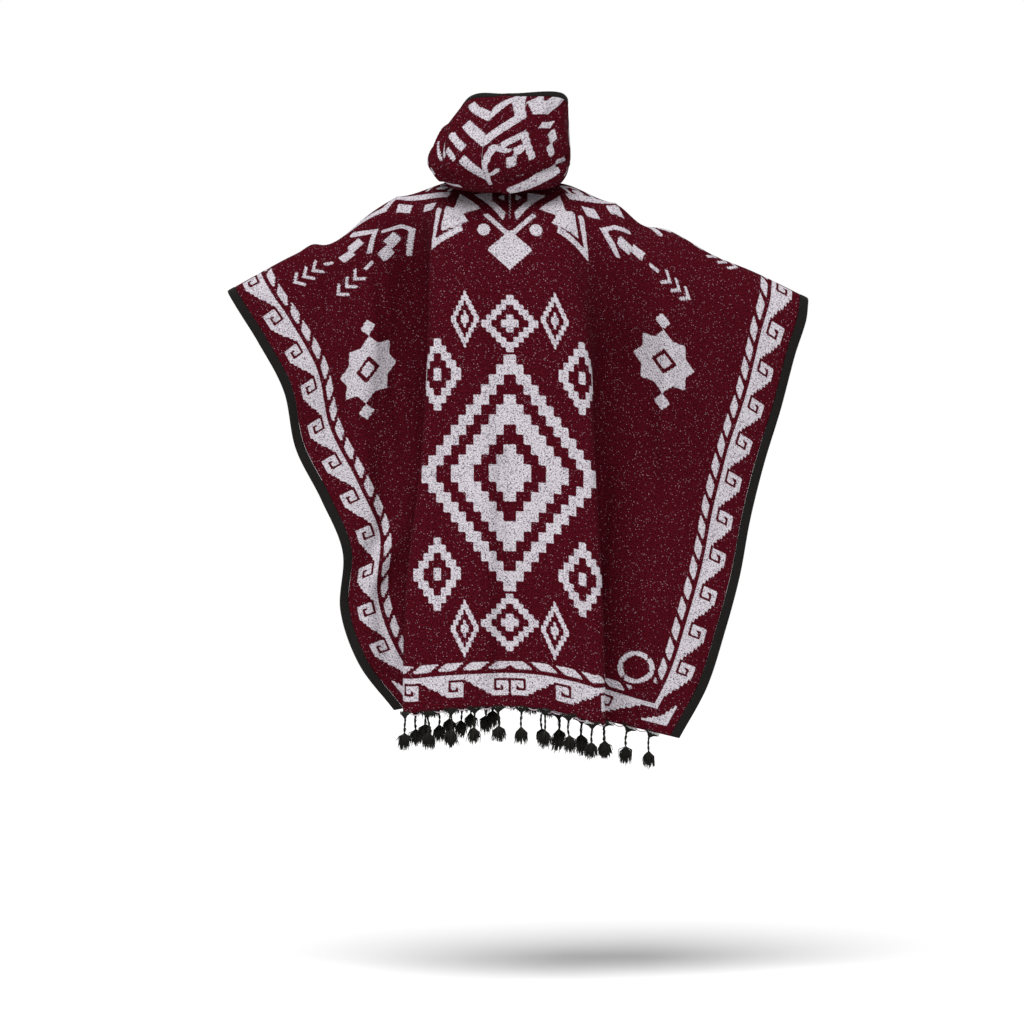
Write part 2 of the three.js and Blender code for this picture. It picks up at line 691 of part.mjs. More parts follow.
/** Band round the hood's opening, just above both panels' rims. */
function hoodBinding() {
  const share = 1 - HOOD_BINDING_WIDTH / 300;
  const lines = [];
  for (const side of [1, -1]) {
    const panel = gridNormals(hoodGrid(side, 0, share, HOOD_RISE_FACES), side);
    const grid = gridNormals(hoodGrid(side, share, 1, 1), side);
    grid.forEach(([low], index) => low.splice(1, 1, panel[index][HOOD_RISE_FACES][1]));
    if (side > 0) lines.push(...grid);
    else lines.push(...grid.slice(1, -1).reverse());
  }
  const raised = lines.map(([low, high]) => {
    const rise = high[0].clone().sub(low[0]).normalize();
    return [[low[0].clone().addScaledVector(rise, HOOD_BINDING_LIFT), low[1]], high];
  });
  const shifted = (distance) => raised[0].map((_, at) => raised.map((line) => (
    line[at][0].clone().addScaledVector(line[at][1], distance)
  )));
  return wallBetween(shifted(BINDING_WALL / 2), shifted(-BINDING_WALL / 2), true);
}

/** A named mesh with its own material. */
function piece(name, geometry, colour, roughness) {
  const material = new THREE.MeshStandardMaterial({ color: colour, roughness, metalness: 0 });
  const mesh = new THREE.Mesh(geometry, material);
  mesh.name = name;
  return mesh;
}

const group = new THREE.Group();
group.add(piece('body_back', bodyWall(BACK), COLOURS.cloth, 0.95));
group.add(piece('body_front', bodyWall(FRONT), COLOURS.cloth, 0.95));
group.add(piece('binding_left', sideBinding(1), COLOURS.trim, 0.9));
group.add(piece('binding_right', sideBinding(-1), COLOURS.trim, 0.9));
group.add(piece('hood_left', hoodPanel(1), COLOURS.cloth, 0.95));
group.add(piece('hood_right', hoodPanel(-1), COLOURS.cloth, 0.95));
group.add(piece('hood_binding', hoodBinding(), COLOURS.trim, 0.9));
group.add(piece('fringe_back', fringe(BACK), COLOURS.tassel, 0.95));
group.add(piece('fringe_front', fringe(FRONT), COLOURS.tassel, 0.95));

export default group;
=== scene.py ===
"""A hooded woven blanket poncho held open by outstretched arms, dressed for rendering."""

import math

import bpy
import numpy as np
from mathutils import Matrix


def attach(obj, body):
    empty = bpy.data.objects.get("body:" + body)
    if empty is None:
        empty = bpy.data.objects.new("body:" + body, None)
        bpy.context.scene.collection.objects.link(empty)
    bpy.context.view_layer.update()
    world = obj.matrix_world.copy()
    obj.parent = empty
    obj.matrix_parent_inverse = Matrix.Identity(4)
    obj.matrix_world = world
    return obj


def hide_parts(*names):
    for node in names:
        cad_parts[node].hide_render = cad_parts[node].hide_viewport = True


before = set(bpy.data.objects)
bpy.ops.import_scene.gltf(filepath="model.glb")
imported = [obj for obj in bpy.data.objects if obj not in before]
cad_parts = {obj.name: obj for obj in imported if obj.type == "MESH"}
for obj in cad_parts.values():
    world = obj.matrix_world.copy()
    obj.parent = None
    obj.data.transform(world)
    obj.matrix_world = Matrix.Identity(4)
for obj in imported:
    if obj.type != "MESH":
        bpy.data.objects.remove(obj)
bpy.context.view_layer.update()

bl_info = {
    "name": "Hooded blanket poncho",
    "version": (1, 0, 0),
    "blender": (4, 5, 0),
    "location": "3D View > Sidebar > Poncho",
    "description": "Builds a hooded jacquard poncho with black bindings and tasselled hems",
    "category": "Add Mesh",
}

METRE = 0.001

# Sizes of the flat cloth, in millimetres
HALF_WIDTH = 600.0
BACK_LENGTH = 1070.0
FRONT_LENGTH = 1030.0
NECK_HALF_WIDTH = 84.0
NECK_DEPTH_BACK = 60.0
NECK_DEPTH_FRONT = 112.0
CLOTH_WALL = 2.6
BINDING_WALL = 4.0
BINDING_WIDTH = 18.0
SEAM_GAP = 0.3
TURN_LENGTH = 52.0
SMALLEST_TURN = 0.0005
SHORTEST_RETURN = 12.0
LONGEST_RETURN = 200.0
RIDGE_LENGTH = 190.0
HALVINGS = 24
NORMAL_STEP = 1.5
HOOD_SEAM_ALLOWANCE = 4.0
HOOD_SEAM_LIFT = 1.2
HOOD_BINDING_WIDTH = 14.0
HOOD_RISE_SCALE = 300.0
TASSELS_PER_HEM = 26

# Stitches of the pattern: half a body is this many stitches wide, and each vertex is one stitch
STITCHES = 125
STITCH = (HALF_WIDTH - BINDING_WIDTH) / STITCHES
BACK_ROWS = 230
FRONT_ROWS = 222
YOKE_ROWS = 40


def table(columns, rows):
    """Columns of numbers by name, from rows."""
    return dict(zip(columns, np.array(rows, dtype=float).T))


# Cross sections from the shoulder line (share 0) to the hem (share 1): how far out from the shoulder
# line the middle lies, and how high above it
MIDDLE_COLUMNS = ("share", "depth", "height")
BACK_MIDDLE = table(MIDDLE_COLUMNS, [
    [0, 0, 4],
    [0.014, 15, 2],
    [0.033, 33, -6],
    [0.07, 68, -28],
    [0.125, 112, -66],
    [0.25, 152, -193],
    [0.375, 168, -326],
    [0.5, 176, -460],
    [0.625, 183, -593],
    [0.75, 190, -726],
    [0.875, 196, -860],
    [1, 201, -991],
])
FRONT_MIDDLE = table(MIDDLE_COLUMNS, [
    [0, 0, 4],
    [0.014, 15, 2],
    [0.033, 33, -6],
    [0.07, 66, -28],
    [0.125, 106, -62],
    [0.25, 152, -180],
    [0.375, 174, -306],
    [0.5, 184, -434],
    [0.625, 190, -562],
    [0.75, 195, -690],
    [0.875, 199, -818],
    [1, 202, -945],
])
# The side of each section: half width of the middle panel, angle in degrees by which the cloth folds
# back behind it, heights of that fold and of the wing's start, and the wing's side edge
SIDE_COLUMNS = ("share", "fold", "turn", "fold_height", "tuck_height",
                "edge_out", "edge_depth", "edge_height")
BACK_LEFT = table(SIDE_COLUMNS, [
    [0, 150, 0, -2, -32, 536, 0, -211],
    [0.014, 150, 4, -4, -33, 535, 15, -213],
    [0.033, 150, 12, -12, -40, 531, 30, -221],
    [0.07, 150, 34, -34, -62, 512, 42, -252],
    [0.125, 150, 66, -70, -92, 478, 48, -306],
    [0.25, 151, 104, -196, -214, 427, 62, -402],
    [0.375, 153, 122, -328, -346, 405, 52, -510],
    [0.5, 160, 144, -462, -478, 356, 66, -607],
    [0.625, 172, 156, -596, -606, 315, 84, -706],
    [0.75, 189, 162, -731, -726, 320, 66, -815],
    [0.875, 197, 167, -868, -850, 284, 78, -917],
    [1, 198, 170, -1004, -968, 218, 92, -1003],
])
BACK_RIGHT = table(SIDE_COLUMNS, [
    [0, 140, 0, -6, -44, 566, 0, -225],
    [0.014, 139, 1, -8, -45, 566, 15, -227],
    [0.033, 138, 4, -14, -50, 565, 30, -236],
    [0.07, 136, 10, -36, -74, 560, 42, -270],
    [0.125, 135, 22, -72, -112, 540, 46, -331],
    [0.25, 139, 52, -200, -230, 512, 50, -436],
    [0.375, 151, 82, -334, -356, 480, 56, -540],
    [0.5, 157, 108, -470, -488, 454, 52, -646],
    [0.625, 163, 130, -605, -616, 434, 60, -752],
    [0.75, 170, 150, -742, -742, 405, 70, -858],
    [0.875, 175, 162, -882, -870, 371, 78, -961],
    [1, 177, 170, -1024, -998, 319, 84, -1056],
])
FRONT_LEFT = table(SIDE_COLUMNS, [
    [0, 150, 0, -2, -32, 536, 0, -211],
    [0.014, 149, 3, -4, -33, 535, 15, -213],
    [0.033, 148, 8, -12, -40, 530, 30, -221],
    [0.07, 148, 22, -34, -62, 508, 42, -252],
    [0.125, 147, 48, -70, -92, 472, 46, -304],
    [0.25, 146, 92, -184, -204, 424, 54, -400],
    [0.375, 151, 119, -310, -328, 390, 60, -498],
    [0.5, 154, 143, -438, -454, 348, 60, -596],
    [0.625, 158, 156, -567, -578, 310, 70, -692],
    [0.75, 162, 162, -697, -700, 296, 76, -788],
    [0.875, 168, 167, -828, -822, 260, 74, -878],
    [1, 172, 170, -958, -940, 205, 86, -958],
])
FRONT_RIGHT = table(SIDE_COLUMNS, [
    [0, 140, 0, -6, -44, 566, 0, -225],
    [0.014, 139, 2, -8, -45, 566, 15, -227],
    [0.033, 138, 6, -14, -50, 564, 30, -236],
    [0.07, 134, 16, -36, -74, 556, 42, -270],
    [0.125, 130, 34, -72, -110, 534, 46, -329],
    [0.25, 130, 66, -186, -214, 500, 54, -430],
    [0.375, 136, 92, -312, -336, 466, 50, -530],
    [0.5, 144, 116, -441, -460, 436, 58, -630],
    [0.625, 152, 138, -571, -584, 404, 66, -726],
    [0.75, 160, 152, -702, -708, 368, 60, -816],
    [0.875, 167, 162, -834, -830, 330, 74, -900],
    [1, 170, 167, -965, -950, 280, 82, -972],
])
# Bumps of the shoulder line's ridge on one side, at shares of the wing's width
RIDGE_BUMPS = table(("side", "at", "reach", "rise"), [
    [1, 0.36, 0.2, -20],
    [1, 0.5, 0.07, 8],
    [-1, 0.13, 0.12, -18],
    [-1, 0.5, 0.2, -8],
])

# Soft folds on the back (half 1) and front (half -1), from one flat place to another. Each table
# has the lengths over which its folds fade in and out.
SOFT_FADES = (150, 110)
CREASE_FADES = (70, 90)
FOLD_COLUMNS = ("half", "from_across", "from_down", "to_across", "to_down", "spread", "rise")
SOFT_FOLDS = table(FOLD_COLUMNS, [
    [1, -12, 760, -20, 1120, 26, -11],
    [1, 60, 560, 84, 1120, 34, 8],
    [1, -96, 640, -112, 1120, 30, 8],
    [1, 92, 110, 40, 620, 36, 9],
    [1, -86, 120, -50, 560, 34, 8],
    [1, 330, 110, 470, 470, 30, 14],
    [1, 420, 420, 560, 760, 34, -16],
    [1, 500, 640, 590, 1000, 30, 14],
    [1, -300, 130, -430, 560, 34, 12],
    [1, -420, 330, -560, 760, 36, -12],
    [1, -430, 720, -500, 1100, 34, 12],
    [-1, 0, 420, 14, 1100, 30, -12],
    [-1, 66, 300, 80, 1060, 32, 9],
    [-1, -70, 340, -88, 1060, 30, 9],
    [-1, 320, 120, 450, 560, 34, 12],
    [-1, 430, 520, 540, 980, 34, -12],
    [-1, -310, 120, -440, 560, 34, 12],
    [-1, -440, 500, -540, 980, 34, -12],
])


def column_at(rows, key, column, share):
    """A column at shares between the rows, on a smooth curve through them."""
    keys, values = rows[key], rows[column]
    last = len(keys) - 1
    before = np.maximum(np.arange(last + 1) - 1, 0)
    after = np.minimum(np.arange(last + 1) + 1, last)
    slope = (values[after] - values[before]) / (keys[after] - keys[before])
    index = np.clip(np.searchsorted(keys, share, side="left") - 1, 0, last - 1)
    span = keys[index + 1] - keys[index]
    part = np.clip((share - keys[index]) / span, 0.0, 1.0)
    square, cube = part ** 2, part ** 3
    return ((2 * cube - 3 * square + 1) * values[index]
            + (cube - 2 * square + part) * span * slope[index]
            + (3 * square - 2 * cube) * values[index + 1]
            + (cube - square) * span * slope[index + 1])


def row_at(rows, key, share):
    """All columns of a table at shares."""
    return {name: column_at(rows, key, name, share) for name in rows if name != key}


def rows_of(rows, wanted):
    """The rows of a table whose first column, a half or a side, is the one wanted, without it."""
    return [row[1:] for row in zip(*rows.values()) if row[0] == wanted]


def ease(value):
    """Smooth rise from 0 to 1."""
    part = np.clip(value, 0.0, 1.0)
    return part * part * (3 - 2 * part)


def bump(value):
    """Rounded bump, 1 at 0 and close to 0 past 1.5."""
    return np.exp(-1.6 * value * value)


def unit(vectors):
    """The vectors, each brought to length 1."""
    return vectors / np.linalg.norm(vectors, axis=-1, keepdims=True)


def fold_plan(row, return_length):
    """Flat lengths and places of the turns of the fold behind the middle panel."""
    turn = np.maximum(np.radians(row["turn"]), SMALLEST_TURN)
    radius = TURN_LENGTH / turn
    panel = row["fold"] - radius * np.sin(np.minimum(turn, math.pi / 2))
    turn_out = radius * np.sin(turn)
    turn_in = radius * (1 - np.cos(turn))
    first = (panel + TURN_LENGTH, panel + turn_out, turn_in)
    second = (first[0] + return_length, first[1] + return_length * np.cos(turn),
              first[2] + return_length * np.sin(turn))
    wing = (second[0] + TURN_LENGTH, second[1] + turn_out, second[2] + turn_in)
    return turn, radius, panel, first, second, wing


def with_returns(rows, middle):
    """The table with the length of cloth between the turns, found by halving to keep the width."""
    low = np.full(len(rows["share"]), SHORTEST_RETURN)
    high = np.maximum(LONGEST_RETURN * (rows["turn"] / 180) ** 2, SHORTEST_RETURN)
    for _ in range(HALVINGS):
        tried = (low + high) / 2
        across, out, back = fold_plan(rows, tried)[5]
        wing = np.sqrt((rows["edge_out"] - out) ** 2
                       + (rows["edge_depth"] - (middle["depth"] - back)) ** 2
                       + (rows["edge_height"] - rows["tuck_height"]) ** 2)
        long = across + wing > HALF_WIDTH
        high = np.where(long, tried, high)
        low = np.where(long, low, tried)
    return {**rows, "return_length": (low + high) / 2}


class Half:
    """One hanging half of the body: its length, rows of stitches, neck depth and tables."""

    def __init__(self, half, length, rows, neck_depth, middle, left, right):
        self.half, self.length, self.rows, self.neck_depth = half, length, rows, neck_depth
        self.middle = middle
        self.sides = {1: with_returns(left, middle), -1: with_returns(right, middle)}


BACK = Half(1, BACK_LENGTH, BACK_ROWS, NECK_DEPTH_BACK, BACK_MIDDLE, BACK_LEFT, BACK_RIGHT)
FRONT = Half(-1, FRONT_LENGTH, FRONT_ROWS, NECK_DEPTH_FRONT, FRONT_MIDDLE, FRONT_LEFT, FRONT_RIGHT)


def draped(part, side, across, down):
    """Place of the middle layer, before its soft folds, at flat places on one side.

    The panel is straight across. Past it the cloth turns back on an arc, returns, turns out again
    on a second arc and runs straight to the side edge.
    """
    share = down / part.length
    middle = row_at(part.middle, "share", share)
    row = row_at(part.sides[side], "share", share)
    turn, radius, panel, first, second, wing = fold_plan(row, row["return_length"])
    height = middle["height"] + (row["fold_height"] - middle["height"]) * (across / panel) ** 2
    folded = ease((across - panel) / (wing[0] - panel))
    tuck = row["fold_height"] + (row["tuck_height"] - row["fold_height"]) * folded
    one = (across - panel) / radius
    along = across - first[0]
    two = turn - (across - second[0]) / radius
    reach = (across - wing[0]) / (HALF_WIDTH - wing[0])
    places = [across < panel, across < first[0], across < second[0], across < wing[0]]
    out = np.select(places, [
        across, panel + radius * np.sin(one), first[1] + along * np.cos(turn),
        second[1] + radius * (np.sin(turn) - np.sin(two))], wing[1] + (row["edge_out"] - wing[1]) * reach)
    back = np.select(places, [
        0 * across, radius * (1 - np.cos(one)), first[2] + along * np.sin(turn),
        second[2] + radius * (np.cos(two) - np.cos(turn))],
        wing[2] + (middle["depth"] - row["edge_depth"] - wing[2]) * reach)
    edge = row["tuck_height"] + (row["edge_height"] - row["tuck_height"]) * reach
    edge += ridge_rise(side, reach) * (1 - ease(down / RIDGE_LENGTH))
    height = np.select(places, [height, tuck, tuck, tuck], edge)
    return np.stack([side * out, part.half * (middle["depth"] - back), height], axis=-1)


def ridge_rise(side, wing):
    """Height of the ridge's bumps at shares of the wing's width."""
    total = np.zeros_like(wing)
    for at, reach, rise in rows_of(RIDGE_BUMPS, side):
        total += rise * bump((wing - at) / reach)
    return total


def fold_rise(folds, fades, part, flat_x, down):
    """Rise of long soft folds with tapered ends at flat places."""
    fade_in, fade_out = fades
    total = np.zeros_like(flat_x)
    for from_x, from_down, to_x, to_down, spread, rise in rows_of(folds, part.half):
        along_x, along_down = to_x - from_x, to_down - from_down
        length = math.hypot(along_x, along_down)
        off_x, off_down = flat_x - from_x, down - from_down
        along = (off_x * along_x + off_down * along_down) / length
        aside = (off_x * along_down - off_down * along_x) / length
        total += rise * ease(along / fade_in) * ease((length - along) / fade_out) * bump(aside / spread)
    return total


def cloth_point(part, flat_x, down):
    """Place of the middle layer at flat places; flat_x is positive on the wearer's left."""
    flat_x, down = np.broadcast_arrays(np.asarray(flat_x, float), np.asarray(down, float))
    across = np.abs(flat_x)
    left = draped(part, 1, across, down)
    right = draped(part, -1, across, down)
    point = np.where((flat_x < 0)[..., None], right, left)
    point[..., 1] += part.half * fold_rise(SOFT_FOLDS, SOFT_FADES, part, flat_x, down)
    return point


def cloth_normal(part, flat_x, down, place=cloth_point):
    """Outward direction of the cloth at flat places."""
    low = np.maximum(down - NORMAL_STEP, 0)
    high = np.minimum(down + NORMAL_STEP, part.length)
    along_x = place(part, flat_x + NORMAL_STEP, down) - place(part, flat_x - NORMAL_STEP, down)
    along_down = place(part, flat_x, high) - place(part, flat_x, low)
    return unit(np.cross(along_x, along_down) * part.half)


def neck_down(part, across):
    """Distance down from the shoulder line where the cloth starts."""
    inside = np.clip(1 - (across / NECK_HALF_WIDTH) ** 2, 0, None)
    return part.neck_depth * np.sqrt(inside)


# Small creases, finer than the soft folds, in the same columns
CREASES = table(FOLD_COLUMNS, [
    [1, -118, 96, -146, 330, 13, -4],
    [1, 128, 100, 150, 350, 13, -4],
    [1, -40, 300, -66, 640, 16, -2.5],
    [1, 30, 330, 22, 700, 16, -2.5],
    [1, 120, 420, 132, 900, 15, -3],
    [1, -132, 380, -128, 820, 15, -3],
    [1, 14, 560, 20, 1090, 17, -13],
    [1, -16, 700, -12, 1090, 13, 3],
    [1, 46, 760, 52, 1090, 14, 3],
    [1, -62, 760, -70, 1080, 12, -3],
    [1, 250, 40, 300, 300, 20, -5],
    [1, 300, 150, 380, 330, 14, 4],
    [1, 390, 60, 470, 230, 16, -5],
    [1, 470, 90, 540, 300, 16, 4],
    [1, 360, 330, 450, 620, 18, -5],
    [1, 470, 420, 550, 700, 15, 4],
    [1, 380, 640, 440, 980, 16, 5],
    [1, 300, 760, 330, 1060, 16, -4],
    [1, 520, 760, 560, 1050, 13, -4],
    [1, -226, 60, -280, 320, 18, -5],
    [1, -330, 60, -420, 300, 18, 5],
    [1, -430, 80, -520, 330, 16, -5],
    [1, -350, 320, -430, 600, 18, 5],
    [1, -480, 300, -560, 560, 14, -4],
    [1, -300, 560, -360, 900, 16, -5],
    [1, -440, 600, -500, 860, 14, 4],
    [1, -330, 860, -350, 1070, 14, 4],
    [1, -540, 720, -570, 1000, 12, 4],
    [-1, -30, 240, -50, 640, 16, -3],
    [-1, 44, 260, 40, 600, 15, -3],
    [-1, 110, 420, 120, 900, 15, -3],
    [-1, -112, 400, -118, 860, 15, -3],
    [-1, 260, 60, 330, 360, 18, 5],
    [-1, 400, 80, 480, 300, 16, -5],
    [-1, 380, 360, 460, 700, 16, 5],
    [-1, 480, 640, 530, 980, 14, -4],
    [-1, -260, 60, -330, 360, 18, -5],
    [-1, -400, 80, -480, 300, 16, 5],
    [-1, -380, 380, -460, 720, 16, -5],
    [-1, -480, 640, -530, 960, 14, 4],
])

# The hollow in each wing beside the middle panel's fold, and how far it reaches either way
HOLLOW_DEPTH = 26.0
HOLLOW_INNER = 50.0
HOLLOW_OUTER = 115.0
HOLLOW_START = 130.0
HOLLOW_FADE = 220.0

# One spiral of the stepped fret: rows run out from the spine, columns away from its first end
FRET_SPIRAL = (
    "......#",
    "#####.#",
    "#####.#",
    "##.##.#",
    "##....#",
    "#######",
    "#######",
)
FRET_FOOT = 4
# Rows of stitches from the edge: the border's spine, the bar across its corner, the rope and its gaps
SPINE_ROWS = (11, 12)
CORNER_ARM = 10
CORNER_ROWS = 4
CORNER_SLOPE = 2
ROPE_MIDDLE = 15.7
ROPE_HALF = 1.55
ROPE_PERIOD = 10
ROPE_GAP = 7.4
ROPE_SLANT = 1.35
ROPE_CLEAR_SIDE = 4
ROPE_CLEAR_HEM = 2
ROPE_SHIFT = 2
# The ring of rope in each corner: place and radius of its middle, half its thickness, and its parts
CORNER_REACH = 17
RING_PLACE = 26
RING_RADIUS = 29.3
RING_HALF = 5.0
RING_PARTS = 6
RING_TWIST = 0.03
RING_GAP_HALF = 1.3
BORDER_REACH = 19
HEM_MARGIN = 1
# Stitches from one spiral of the fret to the next along a hem and along the side edges
HEM_PERIOD = 18
SIDE_PERIOD = {1: 19, -1: 20}

# Woven motifs on the yoke and arms: flat place, turn in degrees, and size or width in millimetres
ARM_SETS = table(("half", "across", "down", "turn"), [
    [1, 224, 140, 7],
    [1, 278, 84, 0],
    [1, -178, 122, 168],
    [1, -258, 2, 172],
    [-1, 214, 140, 2],
    [-1, 290, 70, 0],
    [-1, -214, 140, 178],
    [-1, -290, 70, 180],
])
# One set points along u: bars by their places and width, and squares
ARM_BARS = (
    (((43, -44), (0, 0), (43, 46)), 11),
    (((103, 0), (123, 0)), 9),
    *((((tip - 15, -18), (tip, 0), (tip - 15, 18)), 6.5) for tip in (150, 172, 194)),
)
ARM_SQUARES = ((46, -5, 14), (73, 7, 13))
SHOULDER_BARS = table(("half", "from_across", "from_down", "to_across", "to_down", "width"), [
    [1, 116, 70, 224, 16, 17],
    [1, 214, 14, 248, 42, 17],
    [1, 240, 42, 330, 10, 15],
    [1, -110, 66, -204, 12, 17],
    [-1, 118, 66, 224, 26, 17],
    [-1, -118, 66, -224, 26, 17],
])
YOKE_SQUARES = table(("half", "across", "down", "turn", "size"), [
    [1, 157, 94, -24, 14],
    [1, 206, 66, -26, 14],
    [1, -153, 86, 24, 14],
    [1, -199, 50, 26, 14],
    [-1, 160, 94, -20, 14],
    [-1, 208, 76, -20, 14],
    [-1, -160, 94, 20, 14],
    [-1, -208, 76, 20, 14],
])
ARM_STARS = table(("half", "across", "down", "turn", "size"), [
    [1, 424, 338, -17, 74],
    [1, -348, 326, 17, 78],
    [-1, 396, 330, -15, 76],
    [-1, -396, 330, 15, 76],
])
TINY = 1e-12
# Parts of the stars, as shares of their size
STAR_REACH = 0.6
STAR_EYE = 0.25
STAR_PUPIL = 0.15
STAR_DIAMOND_PLACE = 1.08
# The yoke's middle on one side of the centre line: corners of its areas, and bars
YOKE_AREAS = (
    ((-43, 212), (0, 175), (43, 212), (0, 252)),
    ((68, 78), (33, 75), (33, 104), (9, 136), (11, 156)),
    ((23, 93), (10, 79), (10, 107)),
    ((94, 70), (55, 126), (88, 136), (78, 154), (130, 172), (120, 112), (104, 122)),
    ((128, 118), (138, 110), (154, 208), (88, 172), (90, 160), (142, 186)),
    ((114, 40), (132, 28), (142, 34), (124, 46)),
)
YOKE_BARS = (
    (((46, 140), (0, 186)), 9),
    (((116, 56), (98, 34), (130, 21)), 7),
    (((158, 28), (146, 12), (174, 3)), 7),
)
YOKE_DISC = (49, 172, 12)
FRONT_YOKE_DROP = 46
BAR_OVERRUN = 0.1
BEND_OVERRUN = 0.38
# The medallion's stepped diamonds, mirrored across and down: stitches from its middle, the size of
# a step, and the white rings
MEDALLION_CENTRE = {1: 136, -1: 132}
MEDALLION = (
    (0, 0, 3, 4, (0, 1, 2, 5, 6, 7, 10, 11)),
    (0, 60, 2, 2, (0, 1, 4, 5)),
    (29, 40, 2, 3, (0, 3, 4)),
    (18, 62, 1, 2, (0, 1, 4, 5)),
)


def chart(rows):
    """A chart as an array, true where the yarn is white."""
    return np.array([[mark == "#" for mark in row] for row in rows])


def fret(depth, along, period):
    """True where a stepped fret is white: a square spiral, then stairs up to the spine."""
    spiral = chart(FRET_SPIRAL)
    rows, columns = spiral.shape
    inside = (depth >= 0) & (depth < rows)
    row = np.clip(depth, 0, rows - 1)
    block = spiral[row, np.clip(along, 0, columns - 1)] & (along < columns)
    rise = (rows - 1 - row) / (rows - 1)
    stairs = (along >= columns - 1) & (along <= columns - 1 + np.rint(rise * (period - columns - 1)))
    return inside & (block | stairs)


def border(part, column, row):
    """True where the border is white, from signed columns and rows of stitches."""
    edge = STITCHES - np.abs(column)
    hem = part.rows - row - HEM_MARGIN
    near = np.minimum(edge, hem)
    far = np.maximum(edge, hem)
    on_side = edge <= hem
    period = np.where(on_side, SIDE_PERIOD[part.half], HEM_PERIOD)
    along = far - CORNER_REACH
    repeats = np.where(on_side, (part.rows - HEM_MARGIN - CORNER_REACH) // period, STITCHES)
    depth = FRET_FOOT + len(FRET_SPIRAL) - 1 - near
    place = period - 1 - np.mod(along, period)
    white = fret(depth, place, period) & (along >= 0) & (along < repeats * period)
    white &= on_side | (column != 0)
    past_foot = near - FRET_FOOT
    corner_arm = FRET_FOOT + CORNER_ARM - CORNER_SLOPE * past_foot
    white |= (past_foot >= 0) & (past_foot < CORNER_ROWS) & (far <= corner_arm)
    return white | ((near >= SPINE_ROWS[0]) & (near <= SPINE_ROWS[1]))


def rope(part, column, row):
    """Signed distance to the rope inside the border, parted by slanted gaps."""
    edge = STITCHES - np.abs(column)
    hem = part.rows - row - HEM_MARGIN
    near = np.minimum(edge, hem)
    clear = np.where(edge <= hem, ROPE_CLEAR_SIDE, ROPE_CLEAR_HEM)
    past_ring = np.maximum(edge, hem) - RING_PLACE + clear
    place = np.mod(past_ring - ROPE_SHIFT - ROPE_SLANT * (near - ROPE_MIDDLE), ROPE_PERIOD)
    off_gap = (ROPE_PERIOD / 2 - np.abs(place - ROPE_PERIOD / 2)) / math.hypot(1, ROPE_SLANT)
    thick = ROPE_HALF - np.abs(near - ROPE_MIDDLE)
    return np.minimum(np.minimum(thick, past_ring) * STITCH, off_gap * STITCH - ROPE_GAP / 2)


def rope_ring(part, column, row):
    """Signed distance to the ring of rope inside each corner, parted by slanted gaps."""
    off_edge = (STITCHES - np.abs(column) - RING_PLACE) * STITCH
    off_hem = (part.rows - row - HEM_MARGIN - RING_PLACE) * STITCH
    radius = np.hypot(off_edge, off_hem)
    turn = np.arctan2(off_hem, off_edge) + (radius - RING_RADIUS) * RING_TWIST
    away = np.abs(np.mod(turn * RING_PARTS / (2 * math.pi), 1) - 0.5)
    gap = (0.5 - away) * 2 * math.pi / RING_PARTS * radius - RING_GAP_HALF
    return np.minimum(RING_HALF - np.abs(radius - RING_RADIUS), gap)


def stepped_diamond(column, row, wide, tall, rings):
    """True on the white rings of a stepped diamond, in steps of wide by tall stitches."""
    ring = np.abs(column) // wide + np.abs(row) // tall
    return np.isin(ring, rings)


def medallion(part, column, row):
    """True where the middle's medallion is white."""
    down = np.abs(row - MEDALLION_CENTRE[part.half])
    white = np.zeros(column.shape, bool)
    for aside, away, wide, tall, rings in MEDALLION:
        white |= stepped_diamond(np.abs(column) - aside, down - away, wide, tall, rings)
    return white


def union(inks):
    """The ink of several shapes as one."""
    return np.maximum.reduce(list(inks))


def segment(x, y, start, end, width):
    """Signed distance to a bar between two places, positive inside."""
    along = np.array(end, float) - np.array(start, float)
    share = np.clip(((x - start[0]) * along[0] + (y - start[1]) * along[1]) / (along @ along), 0, 1)
    return width / 2 - np.hypot(x - start[0] - share * along[0], y - start[1] - share * along[1])


def bar(x, y, start, end, width):
    """Signed distance to a bar with square ends, positive inside."""
    along = np.array(end, float) - np.array(start, float)
    length = math.hypot(*along)
    forward = ((x - start[0]) * along[0] + (y - start[1]) * along[1]) / length
    aside = ((x - start[0]) * along[1] - (y - start[1]) * along[0]) / length
    return np.minimum(width / 2 - np.abs(aside), np.minimum(forward, length - forward) + width * BAR_OVERRUN)


def bent_bar(x, y, places, width):
    """Signed distance to bars from place to place, each run on at its bends."""
    inks = []
    places = np.array(places, float)
    for number, (start, end) in enumerate(zip(places, places[1:])):
        step = unit(end - start) * width * BEND_OVERRUN
        run_on = end + step * (number < len(places) - 2)
        inks.append(bar(x, y, start - step * (number > 0), run_on, width))
    return union(inks)


def polygon(x, y, corners):
    """Signed distance to a polygon, positive inside."""
    distance = np.full(x.shape, np.inf)
    inside = np.zeros(x.shape, bool)
    for (ax, ay), (bx, by) in zip(corners, corners[1:] + corners[:1]):
        distance = np.minimum(distance, -segment(x, y, (ax, ay), (bx, by), 0))
        crosses = (ay > y) != (by > y)
        inside ^= crosses & (x < (bx - ax) * (y - ay) / (by - ay + TINY) + ax)
    return np.where(inside, distance, -distance)


def local(x, y, across, down, turn):
    """Places about a motif's own centre and turn."""
    angle = math.radians(turn)
    off_x, off_y = x - across, y - down
    return (off_x * math.cos(angle) + off_y * math.sin(angle),
            off_y * math.cos(angle) - off_x * math.sin(angle))


def square(u, v, size):
    """Signed distance to a square of half width size."""
    return size - np.maximum(np.abs(u), np.abs(v))


